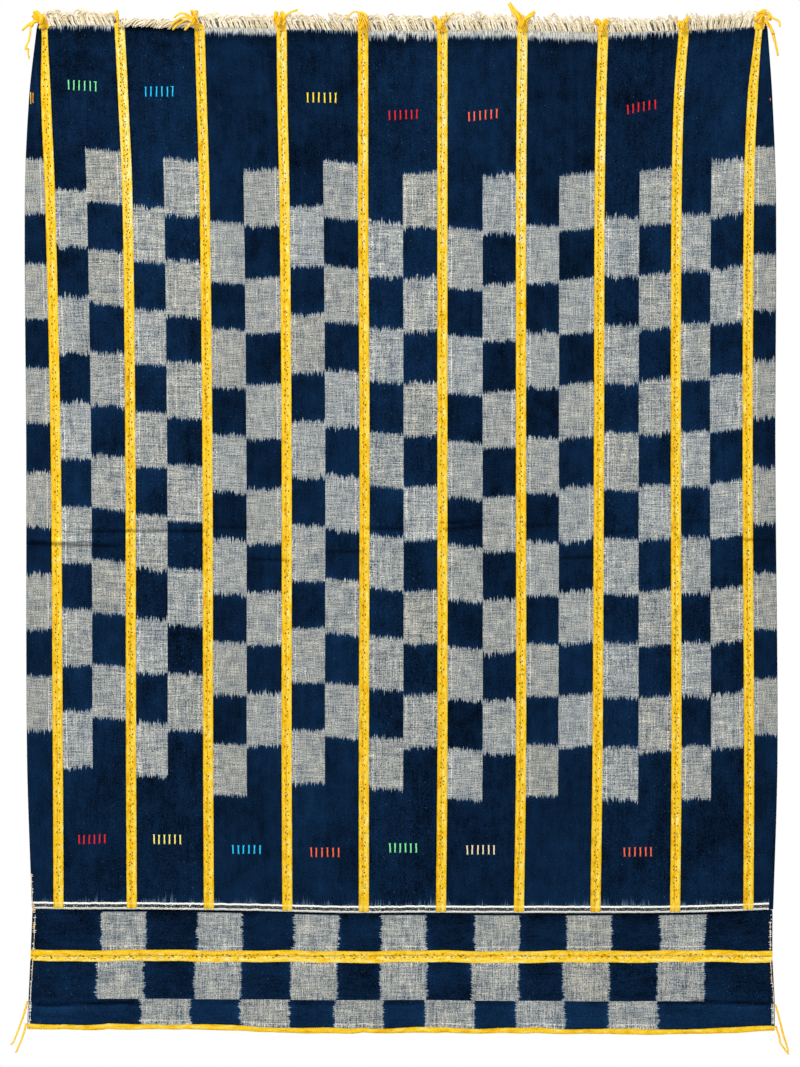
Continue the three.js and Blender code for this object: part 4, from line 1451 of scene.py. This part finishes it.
# The sewn ends of the border and of the body's left side, from one depth to another: threads that run
# down at a distance from the edge, the colours of the stitches across them, how far apart those lie
# and how far in they reach.
SEWN_ENDS = table(
    "end from to down across pitch reach behind",
    ("left", 1181, 1224, ((0.8, "cream"),), ("navy", "cream"), 3.4, 2.2, 0),
    ("left", 1223, 1236, ((1.0, "amber"),), ("white", "cream"), 2.6, 3.4, 0),
    ("left", 1238, 1288, ((0.8, "navy"), (3.6, "cream")), ("cream", "navy", "white"), 3.1, 5.2, 1),
    ("left", 1253, 1258, ((2.0, "amber"), (3.0, "amber")), ("amber",), 2.2, 3.4, 1),
    ("left", 1300, 1332, ((0.9, "navy"), (3.0, "cream")), ("amber", "white", "navy"), 4.6, 2.6, 1),
    ("left", 1331, 1362, ((0.8, "navy"), (2.2, "white"), (3.6, "navy")), ("cream",), 9.0, 2.6, 1),
    ("left", 1360, 1392, ((0.8, "white"), (3.2, "white")), ("navy", "white", "white"), 4.2, 4.8, 1),
    ("right", 1238, 1252, ((2.6, "navy"),), ("white", "navy"), 4.4, 2.6, 1),
    ("right", 1250, 1288, ((0.9, "navy"), (2.6, "cream")), ("cream", "navy", "white"), 2.8, 3.4, 1),
    ("right", 1302, 1334, ((1.0, "navy"), (2.4, "cream")), ("amber", "navy", "cream"), 4.8, 2.8, 1),
    ("right", 1334, 1362, ((1.2, "cream"), (3.2, "navy")), ("white", "navy"), 4.4, 2.8, 1),
    ("right", 1362, 1392, ((1.0, "white"), (3.4, "white")), ("navy", "white"), 4.4, 4.8, 1),
)


def sewn_end_edge(run, depth):
    """Find the edge that a run of end stitches follows."""
    if depth < HEM and run["end"] == "left":
        return float(line_at("fold_left", depth))
    return float(border_end(run["end"], depth))


def sewn_ends(context):
    """Sew the narrow hems at the ends of the border, and let a few stitches show at the side folds."""
    yarns = Yarns(SEEDS["sewn_ends"])
    chance = yarns.chance
    sizes = context.scene.cloth_sizes
    half = sizes.thickness / MM / 2
    for run in SEWN_ENDS:
        side = -1 if run["end"] == "left" else 1
        lap = run["behind"] * sizes.lap_offset / MM
        for inward, name in run["down"]:
            way = []
            for depth in np.linspace(run["from"], run["to"], max(3, int((run["to"] - run["from"]) / 3))):
                edge = sewn_end_edge(run, depth)
                x = edge - side * (inward + 0.5 * (chance.random() - 0.5))
                y = float(drape(edge, depth)) + lap - half - 0.35
                way.append((x, y, -depth))
            yarns.add(smooth_path(way, 4 * len(way)), 0.55, 5, thread_colour(name))
        depth = run["from"] + 1.5 * chance.random()
        while depth < run["to"]:
            edge = sewn_end_edge(run, depth)
            y = float(drape(edge, depth)) + lap - half - 0.6
            reach = run["reach"] * (0.5 + 0.7 * chance.random())
            start = 0.6 + 0.8 * chance.random()
            drop = 2.4 * (chance.random() - 0.4)
            name = run["across"][int(len(run["across"]) * chance.random())]
            points = [
                (edge - side * start, y + 0.3, -depth),
                (edge - side * (start + reach) / 2, y - 0.2, -depth - drop / 2),
                (edge - side * (start + reach), y + 0.6, -depth - drop),
            ]
            yarns.add(smooth_path(points, 5), 0.55, 5, thread_colour(name))
            depth += run["pitch"] * (0.6 + 0.8 * chance.random())
    for side, name in ((-1, "fold_left"), (1, "fold_right")):
        depth, last = FOLD_STITCHES
        while depth < last:
            edge = float(line_at(name, depth))
            y = float(drape(edge, depth)) + sizes.fold_radius / MM * (0.6 + 0.6 * chance.random())
            colour = ("dark", "navy", "cream")[int(3 * chance.random())]
            points = [(edge, y, -depth), (edge + side * 0.3, y, -depth - 1), (edge, y, -depth - 2)]
            yarns.add(smooth_path(points, 4), 0.55, 5, thread_colour(colour))
            depth += 6 + 14 * chance.random()
    yarns.piece("sewn_ends", material("sewing_thread", thread_material), UNDYED)


# The embroidered marks: the tops of the first and the last bar, the bars' height and number, and
# whether a short bar heads the last one
MARKS = table(
    "thread first last height bars head",
    ("green", (-464, -70), (-426, -72), 14.4, 6, True),
    ("blue", (-356, -79), (-318, -79), 14.6, 6, True),
    ("yellow", (-129, -87.5), (-90, -88), 14.6, 6, False),
    ("red", (-15, -113), (24, -111), 13.6, 6, False),
    ("orange", (96.5, -115), (135.5, -110.5), 13.6, 6, False),
    ("red", (318.5, -104.5), (357, -97.5), 13.6, 6, False),
    ("red", (-449, -1126.5), (-413, -1125.5), 13, 6, False),
    ("pale_yellow", (-344.5, -1126.5), (-308, -1126.5), 13.6, 6, False),
    ("blue", (-234, -1141), (-196, -1141), 12.6, 6, False),
    ("orange", (-124.5, -1144), (-86, -1144), 13.6, 6, False),
    ("green", (-14, -1138.5), (22.5, -1138.5), 13.6, 6, False),
    ("cream", (94, -1141), (131.5, -1141), 13.4, 6, False),
    ("orange", (314, -1144), (351.5, -1144), 13.4, 6, False),
    ("gold", (-516.8, -87), (-516.8, -87), 17, 1, False),
    ("amber", (-513.9, -88), (-513.9, -88), 15, 1, False),
    ("orange", (518, -95.5), (518, -95.5), 4, 1, False),
)


def embroidered_marks(context):
    """Work the small sets of upright bars."""
    yarns = Yarns(SEEDS["marks"])
    chance = yarns.chance
    for mark in MARKS:
        colour = thread_colour(mark["thread"])
        thick = 0.42 if mark["bars"] == 1 else 0.56 if mark["head"] else 0.66
        for i in range(mark["bars"]):
            share = i / max(mark["bars"] - 1, 1)
            x, top = (
                np.interp(share, (0, 1), (mark["first"][k], mark["last"][k])) + 0.6 * (chance.random() - 0.5)
                for k in (0, 1)
            )
            lean = 0.8 * (chance.random() - 0.5) + (0.5 if i == 0 else 0)
            steps = np.linspace(0, 1, 11)
            for strand in (-0.3, 0.3):
                strand *= thick / 0.6
                spread = 1 + 2.2 * np.abs(2 * steps - 1) ** 7
                xs = x + strand * spread + lean * steps + 0.12 * np.sin(9 * steps + chance.random() * 6)
                zs = top - mark["height"] * steps
                ys = body_front(xs, zs, context) - 0.45 * np.sin(math.pi * steps) - 0.1
                yarns.add(np.stack([xs, ys, zs], axis=-1), thick, 6, colour)
            if mark["head"] and i == mark["bars"] - 1:
                xs = x + np.linspace(-3.2, 1.4, 5)
                zs = np.full(5, top - 0.6)
                ys = body_front(xs, zs, context) - 0.3
                yarns.add(np.stack([xs, ys, zs], axis=-1), 0.6, 5, colour)
    yarns.piece("embroidered_marks", material("sewing_thread", thread_material), UNDYED)


# Settings


class ClothSizes(bpy.types.PropertyGroup):
    """Sizes that can be changed."""

    strip_width: FloatProperty(
        name="Strip width", description="Width of a length off the loom", default=0.110, unit="LENGTH"
    )
    thickness: FloatProperty(
        name="Thickness", description="Thickness of the cloth", default=0.0012, unit="LENGTH"
    )
    seam_gap: FloatProperty(
        name="Seam gap", description="Gap between two sewn selvedges",
        default=0.00006, precision=5, unit="LENGTH"
    )
    fold_radius: FloatProperty(
        name="Fold radius", description="Radius of the side folds", default=0.0025, unit="LENGTH"
    )
    lap_offset: FloatProperty(
        name="Lap offset", description="How far the border lies behind the body",
        default=0.0016, unit="LENGTH"
    )
    end_hem_width: FloatProperty(
        name="End hem", description="Width of the border's end hems", default=0.012, unit="LENGTH"
    )
    end_hem_radius: FloatProperty(
        name="End hem radius", description="Radius of the end hems' turn", default=0.001, unit="LENGTH"
    )
    yarn_radius: FloatProperty(
        name="Fringe yarn", description="Radius of a fringe yarn", default=0.00105, unit="LENGTH"
    )
    knot_yarn_radius: FloatProperty(
        name="Knot yarn", description="Radius of a yellow yarn", default=0.0009, unit="LENGTH"
    )
    row_spacing: FloatProperty(
        name="Row spacing", description="Spacing of the mesh down a strip", default=0.0066, unit="LENGTH"
    )
    columns: IntProperty(name="Columns", description="Mesh columns between the selvedges", default=20)
    border_columns: IntProperty(
        name="Border columns", description="Mesh columns along the border", default=260
    )


class ClothColours(bpy.types.PropertyGroup):
    """Colours that can be changed."""

    indigo: FloatVectorProperty(
        name="Indigo", description="The dyed ground", subtype="COLOR_GAMMA",
        default=(0.032, 0.123, 0.226)
    )
    floor: FloatVectorProperty(
        name="Floor", description="The pale floor", subtype="COLOR_GAMMA", default=(0.93, 0.93, 0.92)
    )


class StageSettings(bpy.types.PropertyGroup):
    """Light, floor and camera."""

    distance: FloatProperty(name="Distance", description="Camera to cloth", default=5.0, unit="LENGTH")
    shown_height: FloatProperty(
        name="Shown height", description="Height of the view at the cloth", default=1.4938, unit="LENGTH"
    )
    centre: FloatProperty(
        name="Centre", description="Height of the view's middle", default=-0.7049, unit="LENGTH"
    )
    floor_height: FloatProperty(
        name="Floor height", description="Height of the floor", default=-1.95, unit="LENGTH"
    )
    surround: FloatProperty(
        name="Surround", description="Strength of the light from all round", default=0.58
    )


# Operators


class CLOTH_OT_fringe(bpy.types.Operator):
    """Make the fringe of every length"""

    bl_idname = "cloth.fringe"
    bl_label = "Fringe"

    def execute(self, context):
        for strip in range(len(FRINGES)):
            fringe(strip, context)
        return {"FINISHED"}


class CLOTH_OT_knots(bpy.types.Operator):
    """Tie the yellow warp ends over the seams"""

    bl_idname = "cloth.knots"
    bl_label = "Knots"

    def execute(self, context):
        for row in KNOTS:
            knot(row, context)
        return {"FINISHED"}


class CLOTH_OT_yarn_ends(bpy.types.Operator):
    """Hang the loose yarns at the bottom corners"""

    bl_idname = "cloth.yarn_ends"
    bl_label = "Loose yarns"

    def execute(self, context):
        for name, lines in YARN_ENDS.items():
            yarn_end(name, lines, context)
        return {"FINISHED"}


class CLOTH_OT_sewing(bpy.types.Operator):
    """Sew the seams and the narrow hems"""

    bl_idname = "cloth.sewing"
    bl_label = "Sewing"

    def execute(self, context):
        for seam in range(1, SEAM_COUNT + 1):
            seam_stitches(seam, context)
        border_stitches(context)
        sewn_ends(context)
        return {"FINISHED"}


class CLOTH_OT_marks(bpy.types.Operator):
    """Work the embroidered bars"""

    bl_idname = "cloth.marks"
    bl_label = "Embroidered bars"

    def execute(self, context):
        embroidered_marks(context)
        return {"FINISHED"}


class CLOTH_OT_strips(bpy.types.Operator):
    """Weave the eleven lengths of the body"""

    bl_idname = "cloth.strips"
    bl_label = "Strips"

    def execute(self, context):
        for strip in range(SEAM_COUNT + 1):
            make = outer_strip if strip in (0, SEAM_COUNT) else inner_strip
            make(strip, context)
        return {"FINISHED"}


class CLOTH_OT_border(bpy.types.Operator):
    """Weave the two lengths of the border"""

    bl_idname = "cloth.border"
    bl_label = "Border"

    def execute(self, context):
        border_upper(context)
        border_lower(context)
        return {"FINISHED"}


LIGHTS = table(
    "name place size power",
    ("key_light", (-2.0, -3.0, 2.6), 1.4, 190),
    ("fill_light", (2.8, -3.8, -0.4), 2.4, 40),
    ("back_light", (1.5, 3.8, 1.2), 2.4, 70),
)


def area_light(name, place, target, size, power):
    """Hang a soft light that looks at a target."""
    data = bpy.data.lights.new(name, "AREA")
    data.shape = "DISK"
    data.size = size
    data.energy = power
    light = bpy.data.objects.new(name, data)
    light.location = place
    light.rotation_euler = (Vector(target) - Vector(place)).to_track_quat("-Z", "Y").to_euler()
    light.visible_camera = False
    bpy.context.scene.collection.objects.link(light)


class CLOTH_OT_stage(bpy.types.Operator):
    """Set the camera, the light and the floor"""

    bl_idname = "cloth.stage"
    bl_label = "Stage"

    def execute(self, context):
        stage = context.scene.cloth_stage
        lens = bpy.data.cameras.new("camera")
        lens.sensor_width = 36
        lens.lens = lens.sensor_width * stage.distance / stage.shown_height
        camera = bpy.data.objects.new("camera", lens)
        camera.location = (0, -stage.distance, stage.centre)
        camera.rotation_euler = (math.pi / 2, 0, 0)
        context.scene.collection.objects.link(camera)
        context.scene.camera = camera

        half = 2.5
        corners = [(-half, -half), (half, -half), (half, half), (-half, half)]
        mesh = bpy.data.meshes.new("floor")
        mesh.from_pydata([(x, y, stage.floor_height) for x, y in corners], [], [(0, 1, 2, 3)])
        floor = bpy.data.objects.new("floor", mesh)
        mesh.materials.append(floor_material(linear(context.scene.cloth_colours.floor)))
        context.scene.collection.objects.link(floor)

        world = bpy.data.worlds.new("surround")
        world.use_nodes = True
        tree = world.node_tree
        background = tree.nodes["Background"]
        ray = tree.nodes.new("ShaderNodeLightPath")
        strength = tree.nodes.new("ShaderNodeMapRange")
        strength.inputs["To Min"].default_value = stage.surround
        strength.inputs["To Max"].default_value = 1.0
        tree.links.new(ray.outputs["Is Camera Ray"], strength.inputs["Value"])
        tree.links.new(strength.outputs[0], background.inputs["Strength"])
        background.inputs["Color"].default_value = (1, 1, 1, 1)
        context.scene.world = world
        context.scene.view_settings.view_transform = "Standard"

        middle = (0, 0, stage.centre)
        for light in LIGHTS:
            area_light(light["name"], light["place"], middle, light["size"], light["power"])
        return {"FINISHED"}


OPERATORS = (
    CLOTH_OT_stage,
    CLOTH_OT_fringe,
    CLOTH_OT_knots,
    CLOTH_OT_yarn_ends,
    CLOTH_OT_strips,
    CLOTH_OT_border,
    CLOTH_OT_sewing,
    CLOTH_OT_marks,
)


class CLOTH_PT_panel(bpy.types.Panel):
    """The cloth's pieces"""

    bl_idname = "CLOTH_PT_panel"
    bl_label = "Strip-woven cloth"
    bl_space_type = "VIEW_3D"
    bl_region_type = "UI"
    bl_category = "Cloth"

    def draw(self, context):
        for operator in OPERATORS:
            self.layout.operator(operator.bl_idname)
        for group in (context.scene.cloth_sizes, context.scene.cloth_colours, context.scene.cloth_stage):
            box = self.layout.box()
            for name in group.bl_rna.properties.keys():
                if name not in ("rna_type", "name"):
                    box.prop(group, name)


GROUPS = {"cloth_sizes": ClothSizes, "cloth_colours": ClothColours, "cloth_stage": StageSettings}


def register():
    """Add the settings, the operators and the panel."""
    for name, group in GROUPS.items():
        bpy.utils.register_class(group)
        setattr(bpy.types.Scene, name, PointerProperty(type=group))
    for operator in OPERATORS:
        bpy.utils.register_class(operator)
    bpy.utils.register_class(CLOTH_PT_panel)


def unregister():
    """Take away the panel, the operators and the settings."""
    bpy.utils.unregister_class(CLOTH_PT_panel)
    for operator in reversed(OPERATORS):
        bpy.utils.unregister_class(operator)
    for name, group in GROUPS.items():
        delattr(bpy.types.Scene, name)
        bpy.utils.unregister_class(group)


def main():
    """Build the cloth on the loaded frame."""
    register()
    for operator in OPERATORS:
        group, name = operator.bl_idname.split(".")
        getattr(getattr(bpy.ops, group), name)()


if __name__ == "__main__":
    main()
